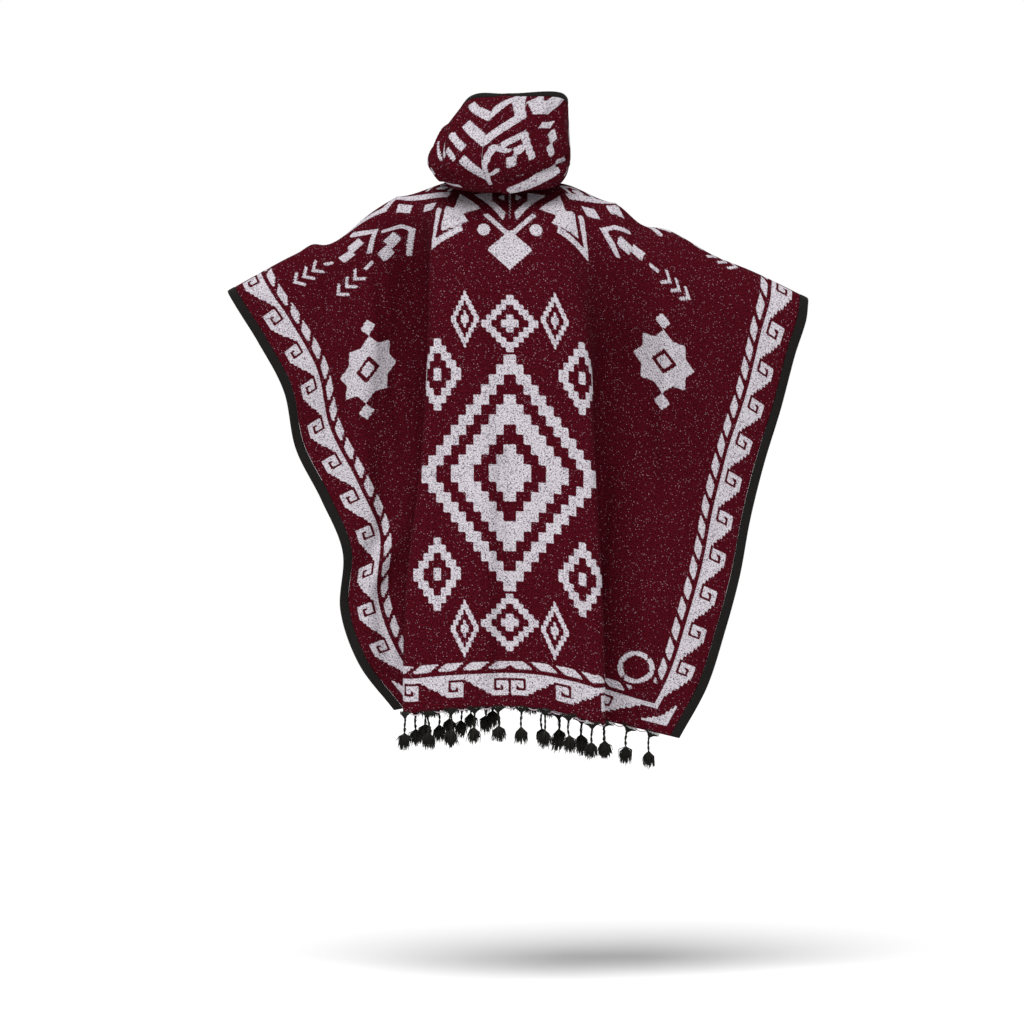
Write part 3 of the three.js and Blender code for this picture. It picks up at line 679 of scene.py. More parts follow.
def arm_set(u, v):
    """Signed distance to a bracket, two squares, a dash and three chevrons in a row."""
    inks = [bent_bar(u, v, places, width) for places, width in ARM_BARS]
    inks += [square(u - place, v - aside, size) for place, aside, size in ARM_SQUARES]
    return union(inks)


def star(u, v, size):
    """Signed distance to an eight-pointed star with a diamond eye, between two small diamonds."""
    upright = np.maximum(np.abs(u), np.abs(v))
    slanted = (np.abs(u) + np.abs(v)) / math.sqrt(2)
    eye = np.maximum(slanted - size * STAR_EYE, size * STAR_PUPIL - slanted)
    inks = [np.minimum(size * STAR_REACH - np.minimum(upright, slanted), eye)]
    for away in (-STAR_DIAMOND_PLACE, STAR_DIAMOND_PLACE):
        inks.append(square(*local(u, v, 0, away * size, 45), size * STAR_PUPIL))
    return union(inks)


def yoke(part, x, y):
    """Signed distance to the yoke's and arms' motifs, positive on white yarn."""
    y_middle = y - (FRONT_YOKE_DROP if part.half < 0 else 0)
    side = np.abs(x)
    disc_x, disc_y, disc_radius = YOKE_DISC
    inks = [disc_radius - np.hypot(side - disc_x, y_middle - disc_y)]
    inks += [polygon(side, y_middle, corners) for corners in YOKE_AREAS]
    inks += [bent_bar(side, y_middle, places, width) for places, width in YOKE_BARS]
    inks += [arm_set(*local(x, y, *place)) for place in rows_of(ARM_SETS, part.half)]
    for shape, rows in ((square, YOKE_SQUARES), (star, ARM_STARS)):
        inks += [shape(*local(x, y, *place), size) for *place, size in rows_of(rows, part.half)]
    for *places, width in rows_of(SHOULDER_BARS, part.half):
        inks.append(bar(x, y, places[:2], places[2:], width))
    return union(inks)


def body_ink(part, column, row, x, y):
    """How far inside white yarn each stitch is, in millimetres."""
    charted = border(part, column, row) | medallion(part, column, row)
    clear_of_border = np.minimum(STITCHES - np.abs(column), part.rows - row) > BORDER_REACH
    drawn = np.where(clear_of_border, yoke(part, x, y), -STITCH / 2)
    drawn = union([drawn, rope_ring(part, column, row), rope(part, column, row)])
    return np.maximum(np.where(charted, STITCH / 2, -STITCH / 2), np.clip(drawn, -STITCH / 2, STITCH / 2))


def hollow(part, side, across, down):
    """Depth of the hollow in the cloth beside the middle panel's fold, deepest at the tuck."""
    row = row_at(part.sides[side], "share", down / part.length)
    tuck = fold_plan(row, row["return_length"])[5][0]
    reach = np.where(across < tuck, HOLLOW_INNER, HOLLOW_OUTER)
    return HOLLOW_DEPTH * bump((across - tuck) / reach) * ease((down - HOLLOW_START) / HOLLOW_FADE)


def draped_cloth(part, flat_x, down):
    """Place of the middle layer with its small creases and the hollows beside its folds."""
    point = cloth_point(part, flat_x, down)
    flat_x, down = np.broadcast_arrays(np.asarray(flat_x, float), np.asarray(down, float))
    across = np.abs(flat_x)
    depth = np.where(flat_x < 0, hollow(part, -1, across, down), hollow(part, 1, across, down))
    point[..., 1] += part.half * (fold_rise(CREASES, CREASE_FADES, part, flat_x, down) - depth)
    return point


def new_mesh(name, points, faces, inks=None, flats=None):
    """A smooth mesh object from points in millimetres and lists of three or four sided faces."""
    corners = np.concatenate([face.ravel() for face in faces]).astype(np.int32)
    sizes = np.concatenate([np.full(len(face), face.shape[1]) for face in faces])
    starts = np.concatenate([[0], np.cumsum(sizes)[:-1]]).astype(np.int32)
    mesh = bpy.data.meshes.new(name)
    mesh.vertices.add(len(points))
    mesh.vertices.foreach_set("co", (points * METRE).astype(np.float32).ravel())
    mesh.loops.add(len(corners))
    mesh.loops.foreach_set("vertex_index", corners)
    mesh.polygons.add(len(starts))
    mesh.polygons.foreach_set("loop_start", starts)
    mesh.polygons.foreach_set("use_smooth", np.ones(len(starts), bool))
    mesh.update(calc_edges=True)
    if flats is not None:
        layer = mesh.uv_layers.new(name="flat")
        layer.data.foreach_set("uv", (flats[corners] * METRE).astype(np.float32).ravel())
    if inks is not None:
        attribute = mesh.attributes.new("ink", "FLOAT", "POINT")
        attribute.data.foreach_set("value", inks.astype(np.float32))
    piece = bpy.data.objects.new(name, mesh)
    bpy.context.scene.collection.objects.link(piece)
    return piece


def grid_faces(rows, columns, first=0):
    """Four-sided faces of a grid of points numbered row by row."""
    row, column = np.mgrid[0:rows - 1, 0:columns - 1]
    corner = first + row * columns + column
    return np.stack([corner, corner + columns, corner + columns + 1, corner + 1], axis=-1).reshape(-1, 4)


def grid_rim(rows, columns, first=0):
    """Numbers of the points round a grid, in order."""
    index = first + np.arange(rows * columns).reshape(rows, columns)
    return np.concatenate([index[0, :-1], index[:-1, -1], index[-1, :0:-1], index[:0:-1, 0]])


def wall(outer, inner):
    """Points and faces of a closed wall; the inner grid has every second point of the outer one."""
    first = outer.shape[0] * outer.shape[1]
    rim, inner_rim = grid_rim(*outer.shape[:2]), grid_rim(*inner.shape[:2], first)
    ends, after = np.roll(rim, -1), np.roll(inner_rim, -1)
    faces = [
        grid_faces(*outer.shape[:2]),
        grid_faces(*inner.shape[:2], first)[:, ::-1],
        np.stack([rim[::2], ends[::2], inner_rim], axis=-1),
        np.stack([rim[1::2], ends[1::2], after], axis=-1),
        np.stack([rim[1::2], after, inner_rim], axis=-1),
    ]
    return np.concatenate([outer.reshape(-1, 3), inner.reshape(-1, 3)]), faces


def turned_out(points, faces):
    """The faces, reversed if they enclose their volume inside out."""
    volume = 0.0
    for face in faces:
        a = points[face[:, 0]]
        for corner in range(1, face.shape[1] - 1):
            volume += np.einsum("ij,ij->", a, np.cross(points[face[:, corner]], points[face[:, corner + 1]]))
    return faces if volume > 0 else [face[:, ::-1] for face in faces]


def woven_wall(name, middle, normal, ink, flat):
    """A panel with its pattern on both faces, exchanged on the inner one."""
    outer = middle + normal * CLOTH_WALL / 2
    inner = (middle - normal * CLOTH_WALL / 2)[::2, ::2]
    points, faces = wall(outer, inner)
    inks = np.concatenate([ink.ravel(), -ink[::2, ::2].ravel()])
    flats = np.concatenate([flat.reshape(-1, 2), flat[::2, ::2].reshape(-1, 2)])
    return new_mesh(name, points, turned_out(points, faces), inks, flats)


def body_panel(part, name):
    """One half of the body, each vertex of its outer face one stitch of the pattern."""
    column, row = np.meshgrid(np.arange(-STITCHES, STITCHES + 1), np.arange(part.rows + 1))
    flat_x = column * STITCH
    flat_x = np.clip(flat_x, -flat_x.max() + SEAM_GAP, flat_x.max() - SEAM_GAP)
    stitch = part.length / part.rows
    top = np.maximum(neck_down(part, np.abs(flat_x)), SEAM_GAP / 2)
    yoke_end = YOKE_ROWS * stitch
    down = np.where(row < YOKE_ROWS, top + (yoke_end - top) * row / YOKE_ROWS, row * stitch)
    middle = draped_cloth(part, flat_x, down)
    normal = cloth_normal(part, flat_x, down, draped_cloth)
    on_line = (row == 0) & (np.abs(flat_x) >= NECK_HALF_WIDTH)
    middle[on_line, 1] = part.half * SEAM_GAP / 2
    normal[on_line, 1] = 0
    normal = unit(normal)
    ink = body_ink(part, column, row, flat_x, down)
    return woven_wall(name, middle, normal, ink, np.stack([flat_x, down], axis=-1))


# The hood: rows round the neck, from the middle of the back (round 0) to the front
HOOD_COLUMNS = ("round", "sag", "belly", "belly_up", "crest_out", "crest_up",
                "rim_out", "rim_up", "sway", "lean")
HOOD_LEFT = table(HOOD_COLUMNS, [
    [0, -14, 112, 34, 72, 156, 36, 176, 52, 2],
    [0.2, -10, 104, 30, 72, 118, 38, 170, 20, -6],
    [0.4, 0, 68, 35, 48, 84, 18, 118, 0, -6],
    [0.6, 6, 40, 32, 30, 62, 14, 92, 0, 0],
    [0.8, 4, 26, 22, 21, 44, 12, 72, 0, 0],
    [1, 2, 16, 12, 13, 24, 8, 40, 0, 0],
])
HOOD_RIGHT = table(HOOD_COLUMNS, [
    [0, -14, 112, 34, 72, 156, 36, 176, 52, 2],
    [0.2, -10, 94, 34, 68, 120, 40, 176, 28, -17],
    [0.4, 2, 30, 37, 24, 84, 14, 140, 0, -8],
    [0.6, 6, 20, 32, 16, 62, 10, 100, 0, 0],
    [0.8, 4, 20, 22, 16, 44, 10, 72, 0, 0],
    [1, 2, 16, 12, 13, 24, 8, 40, 0, 0],
])
HOOD_ROUND = 120
HOOD_RISE = 72
CURVE_STEPS = 240
# How a section leaves the neck seam, along the cloth's normal and outwards, and where it sags, as a
# share of the belly's reach, above the table's sag and as a share of its sway
SEAM_LEAVE_UP = 7
SEAM_LEAVE_OUT = 3
SAG_REACH = 0.55
SAG_LIFT = 4
SAG_SWAY = 0.5
# Lengths beside the neck seam and the band, and the share of the round, over which creases fade
HOOD_FADE_SEAM = 26
HOOD_FADE_RIM = 18
HOOD_FADE_ROUND = 0.03
# Creases of the hood: side, from and to as (round, share of the rise), half width and rise in mm
HOOD_CREASES = table(("side", "from_round", "from_rise", "to_round", "to_rise", "spread", "rise"), [
    [1, 0.02, 0.34, 0.14, 0.52, 9, -4],
    [1, 0.20, 0.80, 0.13, 0.44, 9, 6],
    [1, 0.25, 0.76, 0.18, 0.38, 7, -7],
    [1, 0.30, 0.74, 0.24, 0.34, 8, 6],
    [1, 0.36, 0.70, 0.30, 0.30, 7, -6],
    [1, 0.42, 0.66, 0.37, 0.30, 8, 4],
    [1, 0.06, 0.14, 0.30, 0.24, 9, 5],
    [1, 0.08, 0.88, 0.16, 0.70, 8, -3],
    [1, 0.50, 0.30, 0.80, 0.50, 7, 3],
    [-1, 0.04, 0.25, 0.26, 0.36, 15, 8],
    [-1, 0.06, 0.35, 0.28, 0.47, 8, -7],
    [-1, 0.03, 0.16, 0.24, 0.24, 8, -4],
    [-1, 0.08, 0.58, 0.14, 0.40, 7, -4],
    [-1, 0.17, 0.84, 0.22, 0.50, 8, -5],
    [-1, 0.22, 0.84, 0.27, 0.52, 8, 5],
    [-1, 0.02, 0.60, 0.12, 0.72, 9, 3],
    [-1, 0.30, 0.20, 0.56, 0.52, 8, -4],
    [-1, 0.50, 0.36, 0.80, 0.46, 7, 3],
])


def neck_seam(side, turn):
    """Start, cloth normal and outward direction of the hood's sections at turns round the neck."""
    angle = turn * math.pi
    widen = 1 + HOOD_SEAM_ALLOWANCE / NECK_HALF_WIDTH
    across = NECK_HALF_WIDTH * widen * np.sin(angle)
    seam = np.zeros((len(turn), 3))
    normal = np.zeros((len(turn), 3))
    for part, mask in ((BACK, turn <= 0.5), (FRONT, turn > 0.5)):
        down = (part.neck_depth + HOOD_SEAM_ALLOWANCE) * np.abs(np.cos(angle[mask]))
        seam[mask] = cloth_point(part, side * across[mask], down)
        normal[mask] = cloth_normal(part, side * np.maximum(across[mask], 1), down)
    normal[across < 1, 0] = 0
    normal = unit(normal)
    start = seam + normal * (CLOTH_WALL / 2 + HOOD_SEAM_LIFT)
    away = np.stack([side * np.sin(angle), np.cos(angle), 0 * angle], axis=-1)
    return start, normal, away


def centripetal(controls, steps):
    """Points at even lengths along centripetal curves through the control points of each section."""
    first = 2 * controls[:, 0] - controls[:, 1]
    last = 2 * controls[:, -1] - controls[:, -2]
    knots = np.concatenate([first[:, None], controls, last[:, None]], axis=1)
    gaps = np.sqrt(np.linalg.norm(np.diff(knots, axis=1), axis=-1))
    pieces = controls.shape[1] - 1
    lines = []
    share = np.linspace(0, 1, steps // pieces + 1)[None, :, None]
    for piece in range(pieces):
        a, b, c, d = (knots[:, piece + step, None] for step in range(4))
        before, here, after = (gaps[:, piece + step, None, None] for step in range(3))
        start = (b - a) / before - (c - a) / (before + here) + (c - b) / here
        end = (c - b) / here - (d - b) / (here + after) + (d - c) / after
        start, end = start * here, end * here
        curve = (b + start * share + (3 * (c - b) - 2 * start - end) * share ** 2
                 + (2 * (b - c) + start + end) * share ** 3)
        lines.append(curve if piece == 0 else curve[:, 1:])
    line = np.concatenate(lines, axis=1)
    lengths = np.concatenate([np.zeros((len(line), 1)),
                              np.cumsum(np.linalg.norm(np.diff(line, axis=1), axis=-1), axis=1)], axis=1)
    return line, lengths


def hood_sections(side, turn, shares):
    """Points of the hood at turns round the neck and shares of each section's length, and the lengths."""
    row = row_at(HOOD_LEFT if side > 0 else HOOD_RIGHT, "round", turn)
    start, normal, away = neck_seam(side, turn)

    def place(out, up, lean):
        point = start + away * out[:, None]
        point[:, 2] = start[:, 2] + up
        point[:, 0] += lean
        return point

    controls = np.stack([
        start,
        start + normal * SEAM_LEAVE_UP + away * SEAM_LEAVE_OUT,
        place(row["belly"] * SAG_REACH, row["sag"] + SAG_LIFT, row["sway"] * SAG_SWAY),
        place(row["belly"], row["belly_up"], row["sway"]),
        place(row["crest_out"], row["crest_up"], (row["sway"] + row["lean"]) / 2),
        place(row["rim_out"], row["rim_up"], row["lean"]),
    ], axis=1)
    line, lengths = centripetal(controls, CURVE_STEPS)
    grid = np.empty((len(turn), len(shares), 3))
    for index in range(len(turn)):
        wanted = shares * lengths[index, -1]
        for axis in range(3):
            grid[index, :, axis] = np.interp(wanted, lengths[index], line[index, :, axis])
    return grid, lengths[:, -1]


def grid_normals(grid, side):
    """Outward directions of a hood grid from its neighbours, square to X on the centre seams."""
    rise = np.gradient(grid, axis=1)
    normal = np.cross(np.gradient(grid, axis=0), rise) * -side
    normal[0] = np.cross(rise[0], [1, 0, 0])
    normal[-1] = np.cross(rise[-1], [-1, 0, 0])
    return unit(normal)


# White bars of the hood on its flat panels: across from the centre seam and up from the neck seam
HOOD_BARS = table(("side", "from_across", "from_rise", "to_across", "to_rise", "width"), [
    [1, -8, 242, 56, 282, 18],
    [1, -8, 190, 46, 235, 21],
    [1, 70, 205, 38, 183, 16],
    [1, 38, 162, -8, 122, 17],
    [1, 70, 174, 54, 160, 11],
    [1, 92, 188, 76, 158, 7],
    [1, 112, 172, 90, 150, 7],
    [1, 128, 186, 150, 146, 13],
    [1, 108, 122, 140, 104, 13],
    [1, 60, 92, 128, 76, 12],
    [1, 160, 128, 206, 112, 13],
    [1, 206, 112, 222, 70, 13],
    [1, 170, 70, 196, 44, 11],
    [1, 250, 96, 282, 62, 12],
    [-1, -8, 242, 26, 284, 18],
    [-1, -8, 190, 62, 233, 20],
    [-1, 58, 226, 27, 296, 17],
    [-1, 0, 104, 4, 148, 12],
    [-1, 0, 142, 20, 180, 15],
    [-1, 16, 177, 50, 160, 9],
    [-1, 34, 176, 73, 189, 14],
    [-1, 72, 190, 98, 134, 12],
    [-1, 12, 126, 30, 132, 8],
    [-1, 62, 268, 86, 233, 18],
    [-1, 92, 254, 113, 224, 18],
    [-1, 82, 232, 112, 224, 10],
    [-1, 101, 199, 127, 192, 12],
    [-1, 129, 177, 141, 154, 15],
    [-1, 131, 150, 142, 128, 15],
    [-1, 150, 108, 192, 98, 13],
    [-1, 30, 80, 100, 91, 15],
    [-1, 96, 91, 150, 95, 15],
    [-1, 190, 150, 214, 112, 12],
    [-1, 214, 112, 250, 104, 12],
    [-1, 214, 70, 250, 52, 12],
])
HOOD_SQUARES = table(("side", "across", "rise", "turn", "size"), [
    [1, 176, 96, 20, 11],
    [1, 236, 54, 12, 11],
    [-1, 67, 158, 14, 9],
    [-1, 55, 139, 4, 10],
    [-1, 170, 70, 20, 11],
    [-1, 236, 82, 12, 11],
])


def hood_ink(side, across, rise):
    """Signed distance to the hood's nested V's, brackets and squares, positive on white yarn."""
    inks = [bar(across, rise, places[:2], places[2:], width) for *places, width in rows_of(HOOD_BARS, side)]
    inks += [square(*local(across, rise, *place), size) for *place, size in rows_of(HOOD_SQUARES, side)]
    return union(inks)


def hood_panel(side, name):
    """One hood panel with its creases, from the neck seam to its opening."""
    turn = np.linspace(0, 1, HOOD_ROUND + 1)
    reach = 1 - HOOD_BINDING_WIDTH / HOOD_RISE_SCALE
    shares = np.linspace(0, reach, HOOD_RISE + 1)
    grid, lengths = hood_sections(side, turn, shares)
    grid[[0, -1], :, 0] += side * SEAM_GAP / 2
    normal = grid_normals(grid, side)
    rise = shares[None, :] * lengths[:, None]
    steps = np.linalg.norm(np.diff(grid, axis=0), axis=-1)
    across = np.concatenate([np.zeros((1, len(shares))), np.cumsum(steps, axis=0)])
    lift = np.zeros_like(rise)
    for turn_from, rise_from, turn_to, rise_to, spread, height in rows_of(HOOD_CREASES, side):
        ends = []
        for place, level in ((turn_from, rise_from), (turn_to, rise_to)):
            corner = round(place * HOOD_ROUND), round(min(level / reach, 1) * HOOD_RISE)
            ends.append((across[corner], rise[corner]))
        lift += height * bump(-segment(across, rise, *ends, 0) / spread)
    hold = ease(rise / HOOD_FADE_SEAM) * ease((reach * lengths[:, None] - rise) / HOOD_FADE_RIM)
    hold *= ease(turn[:, None] / HOOD_FADE_ROUND) * ease((1 - turn[:, None]) / HOOD_FADE_ROUND)
    grid = grid + normal * (lift * hold)[..., None]
    ink = np.clip(hood_ink(side, across, rise), -STITCH / 2, STITCH / 2)
    return woven_wall(name, grid, grid_normals(grid, side), ink, np.stack([side * across, rise], axis=-1))


# Bands: rows along them and steps across, height and pace of their ribs, and how their edges thin
SIDE_BAND_ROWS = 321
SIDE_BAND_STEPS = 8
HOOD_BAND_ROWS = 150
HOOD_BAND_STEPS = 6
SIDE_RIB = (0.14, 1.9)
HOOD_RIB = (0.12, 2.1)
BAND_ROUNDING = 5
BAND_EDGE = 0.08
WELD_REACH = 0.0001


def band(points, normals, rib, name, closed=False):
    """A ribbed band from points and normals in rows across it, rounded at its edges."""
    height, pace = rib
    points = points + normals * (height * np.sin(np.arange(len(points)) * pace))[:, None, None]
    steps = points.shape[1] - 1
    share = np.linspace(-1, 1, steps + 1)
    swell = np.sqrt(np.clip(1 - np.abs(share) ** BAND_ROUNDING, BAND_EDGE, 1))[None, :, None]
    outer = points + normals * BINDING_WALL / 2 * swell
    inner = points - normals * BINDING_WALL / 2 * swell
    ring = np.concatenate([outer, inner[:, ::-1], outer[:, :1]], axis=1)
    if closed:
        ring = np.concatenate([ring, ring[:1]])
    count, size = ring.shape[:2]
    faces = [grid_faces(count, size)]
    if not closed:
        low = np.arange(steps)
        high = 2 * steps + 1 - low
        end = np.stack([low, low + 1, high - 1, high], axis=-1)
        faces += [end, end[:, ::-1] + (count - 1) * size]
    points, faces = welded(ring.reshape(-1, 3), faces)
    return new_mesh(name, points, turned_out(points, faces))


def welded(points, faces):
    """Points with doubles joined, and faces that point to them."""
    keys = np.round(points / WELD_REACH).astype(np.int64)
    _, first, number = np.unique(keys, axis=0, return_index=True, return_inverse=True)
    return points[first], [number.reshape(-1)[face] for face in faces]


def side_band(side, name):
    """The band over one side edge, from the front hem over the arm to the back hem."""
    share = np.linspace(0, 1, SIDE_BAND_ROWS)
    across = side * np.linspace(HALF_WIDTH - BINDING_WIDTH, HALF_WIDTH, SIDE_BAND_STEPS + 1)
    lines, turns = [], []
    for part, places in ((FRONT, share[:0:-1]), (BACK, share)):
        down = (places * part.length)[:, None] + 0 * across[None]
        flat = across[None] + 0 * down
        lines.append(draped_cloth(part, flat, down))
        turns.append(cloth_normal(part, flat, down, draped_cloth))
    normals = np.concatenate(turns)
    normals[len(share) - 1, :, 1] = 0
    return band(np.concatenate(lines), unit(normals), SIDE_RIB, name)


def hood_band(name):
    """The band round the hood's opening, above both panels' rims."""
    turn = np.linspace(0, 1, HOOD_BAND_ROWS)
    shares = np.linspace(1 - HOOD_BINDING_WIDTH / HOOD_RISE_SCALE, 1, HOOD_BAND_STEPS + 1)
    lines, turns = [], []
    for side, order in ((1, slice(None)), (-1, slice(-2, 0, -1))):
        grid, _ = hood_sections(side, turn, shares)
        lines.append(grid[order])
        turns.append(grid_normals(grid, side)[order])
    points, normals = np.concatenate(lines), np.concatenate(turns)
    points[:, 0] += SEAM_GAP * unit(points[:, 1] - points[:, 0])
    return band(points, normals, HOOD_RIB, name, closed=True)


# Direction that is square to no tube, from which the tubes' rings are turned
TUBE_ASIDE = (0.31, 0.92, 0.24)


def tube(path, radii, sides, turned=0.0):
    """Points and faces of a closed tube of few sides along a path."""
    path = np.asarray(path, float)
    along = unit(np.gradient(path, axis=0))
    first = unit(np.cross(along, TUBE_ASIDE))
    second = np.cross(along, first)
    angle = turned + np.arange(sides) * 2 * math.pi / sides
    ring = (np.cos(angle)[None, :, None] * first[:, None] + np.sin(angle)[None, :, None] * second[:, None])
    points = path[:, None] + ring * np.asarray(radii, float)[:, None, None]
    number = np.arange(len(path) * sides).reshape(-1, sides)
    after = np.roll(number, -1, axis=1)
    sidewalls = np.stack([number[:-1], after[:-1], after[1:], number[1:]], axis=-1).reshape(-1, 4)
    return points.reshape(-1, 3), [sidewalls, number[:1, ::-1], number[-1:]]


def joined(pieces):
    """Points and faces of several pieces as one."""
    points, faces, first = [], [], 0
    for piece_points, piece_faces in pieces:
        points.append(piece_points)
        faces += [face + first for face in piece_faces]
        first += len(piece_points)
    by_size = {}
    for face in faces:
        by_size.setdefault(face.shape[1], []).append(face)
    return np.concatenate(points), [np.concatenate(group) for group in by_size.values()]


def hem_places(part):
    """Flat distances of the tassels along a hem."""
    limit = HALF_WIDTH - BINDING_WIDTH - HEM_MARGIN_WIDTH
    return -limit + 2 * limit * (np.arange(TASSELS_PER_HEM) + 0.5) / TASSELS_PER_HEM


# A tassel's fan on the hem: strands, half width, drop to the knot, radius; and its twisted cord:
# length, turn of its strands, radii, sway and small loops
FAN_STRANDS = 15
FAN_HALF_WIDTH = 14.5
FAN_DROP = 13
FAN_RADIUS = 0.9
HEM_MARGIN_WIDTH = 14
HEM_STEP = 8
CORD_DROP = 41
CORD_TURN = 9
CORD_RADIUS = 1.3
CORD_SPIRAL = 1.0
CORD_SWAY = 2.0
LOOP_RADIUS = 0.55
LOOP_PLACES = (0.25, 0.75)
# Its brush: strands in a sunflower order, and the shares of their length and flare at the bend
TASSEL_DROP = 72
BRUSH_STRANDS = 110
BRUSH_TURN = 2.399963
BRUSH_NECK = 1.4
BRUSH_RADII = (0.85, 1.05, 0.5)
BEND_FLARE = 0.85
BEND_DROP = 0.36
SELVAGE_SAG = 7.0
STITCH_COUNT = 22
STITCH_START = 62.0
STITCH_STEP = 4.0
STITCH_REACH = 2.2


def tassel_fan(root, along, across, normal, knot, chance):
    """Strands from a short length of hem to the knot."""
    radii = (FAN_RADIUS, FAN_RADIUS, FAN_RADIUS, 0.7)
    pieces = []
    for step in range(FAN_STRANDS):
        place = root + across * (step / (FAN_STRANDS - 1) - 0.5) * 2 * FAN_HALF_WIDTH
        lift = normal * chance.uniform(0.6, 1.6)
        middle = place * 0.45 + knot * 0.55 - along * 2.0 + lift * 1.3
        path = [place - along * 3.0 + lift, place + along * 1.5 + lift, middle, knot]
        pieces.append(tube(path, radii, 3))
    return pieces


def tassel_cord(top, end, chance):
    """Two strands twisted round each other, with two small loops of loose yarn."""
    pieces = []
    share = np.linspace(0, 1, 12)[:, None]
    sway = chance.normal(0, 1.0, 3) * [1, 1, 0]
    for strand in range(2):
        angle = share * CORD_TURN + strand * math.pi
        spiral = np.concatenate([np.cos(angle), np.sin(angle), 0 * angle], axis=1) * CORD_SPIRAL
        bend = sway * np.sin(share * math.pi) * CORD_SWAY
        path = top + (end - top) * share + spiral + bend
        pieces.append(tube(path, np.full(len(path), CORD_RADIUS), 5))
    angle = np.linspace(0, 2 * math.pi, 9)
    for place in LOOP_PLACES:
        centre = top + (end - top) * (place + chance.uniform(-0.1, 0.1))
        turn = chance.uniform(0, math.pi)
        flat = np.cos(angle)
        ring = np.stack([flat * math.cos(turn), flat * math.sin(turn), np.sin(angle)], axis=-1)
        ring *= chance.uniform(2.0, 3.2)
        pieces.append(tube(centre + ring, np.full(len(ring), LOOP_RADIUS), 3))
    return pieces


def tassel_brush(top, hang, length, chance):
    """Flared strands that hang from the end of the cord."""
    pieces = []
    for strand in range(BRUSH_STRANDS):
        angle = strand * BRUSH_TURN
        spread = math.sqrt((strand + 0.5) / BRUSH_STRANDS)
        way = np.array([math.cos(angle), math.sin(angle), 0.0])
        drop = length * chance.uniform(0.55, 1.0) * (1.04 - 0.22 * spread)
        flare = spread * chance.uniform(8.0, 13.5)
        start = top + way * spread * BRUSH_NECK + hang * chance.uniform(-2, 3)
        bend = start + way * flare * BEND_FLARE + hang * drop * BEND_DROP + chance.normal(0, 1.0, 3)
        tip = start + way * flare + hang * drop + chance.normal(0, 1.2, 3)
        pieces.append(tube([start, bend, tip], BRUSH_RADII, 3, angle))
    return pieces


def one_tassel(root, along, normal, lean, scale, chance):
    """A knot fanned out of the hem, a twisted cord with small loops, and a flared brush of strands."""
    hang = np.array([*lean, -1.0])
    knot = root + along * FAN_DROP
    top = knot - along
    end = top + hang * (CORD_DROP - FAN_DROP) * scale
    return joined(tassel_fan(root, along, np.cross(along, normal), normal, knot, chance)
                  + tassel_cord(top, end, chance)
                  + tassel_brush(end, hang, (TASSEL_DROP - CORD_DROP) * scale, chance))


def fringe(part, name, seed):
    """All tassels of one hem as one mesh."""
    chance = np.random.default_rng(seed)
    pieces = []
    flat_x = hem_places(part)
    down = np.full(len(flat_x), part.length)
    edge = draped_cloth(part, flat_x, down)
    normal = cloth_normal(part, flat_x, down, draped_cloth)
    along = unit(edge - draped_cloth(part, flat_x, down - HEM_STEP))
    for index in range(len(flat_x)):
        lean = (0.05 * math.sin(index * 2.3), 0.04 * math.cos(index * 1.7))
        scale = 1 + 0.05 * math.sin(index * 1.3)
        root = edge[index] + along[index] * SEAM_GAP
        pieces.append(one_tassel(root, along[index], normal[index], lean, scale, chance))
    return new_mesh(name, *joined(pieces))


def on_cloth(part, flat_x, down, lift):
    """Points lifted off the outer face of a half at flat places."""
    normal = cloth_normal(part, flat_x, down, draped_cloth)
    return draped_cloth(part, flat_x, down) + normal * (CLOTH_WALL / 2 + lift)


def seam_stitches(name):
    """A zigzag of pale stitches down the middle of the back, below the hood."""
    pieces = []
    for index in range(STITCH_COUNT):
        down = STITCH_START + index * STITCH_STEP
        aside = STITCH_REACH * (1 if index % 2 else -1)
        places = np.linspace(0, 1, 4)
        line = on_cloth(BACK, -aside + 2 * aside * places, down + STITCH_STEP * places, 0.0)
        line += np.array([0, 0.9, 0]) * np.sin(places * math.pi)[:, None]
        pieces.append(tube(line, (0.3, 0.5, 0.5, 0.3), 4))
    return new_mesh(name, *joined(pieces))


def selvage(part, name):
    """Pale warp ends that run in low arcs along a hem from one tassel to the next."""
    places = hem_places(part)
    pieces = []
    for start, end in zip(places[:-1] + FAN_HALF_WIDTH - 3, places[1:] - FAN_HALF_WIDTH + 3):
        share = np.linspace(0, 1, 9)
        sag = SELVAGE_SAG * (1 - (2 * share - 1) ** 2)
        line = on_cloth(part, start + (end - start) * share, part.length + 0 * share, -CLOTH_WALL / 2)
        line[:, 2] -= sag * 0.5 + 1.0
        pieces.append(tube(line, np.full(len(share), 1.1), 5))
    return new_mesh(name, *joined(pieces))


# Unevenness of the edge between the yarns, and half the width over which one passes to the other,
# both in millimetres of ink
RAGGED_EDGE = 2.6
SOFT_EDGE = 0.45


def socket(group, name, way, kind, default=None, low=None, high=None):
    """Adds an input or output to a node group."""
    made = group.interface.new_socket(name=name, in_out=way, socket_type=kind)
    if default is not None:
        made.default_value = default
    if low is not None:
        made.min_value, made.max_value = low, high
    return made


def node(tree, kind, inputs=None, **settings):
    """A new node with its settings; inputs gives values or sockets by the input's name or number."""
    made = tree.nodes.new("ShaderNode" + kind)
    for name, value in settings.items():
        setattr(made, name, value)
    for place, value in (inputs or {}).items():
        if isinstance(value, bpy.types.NodeSocket):
            tree.links.new(value, made.inputs[place])
        else:
            made.inputs[place].default_value = value
    return made


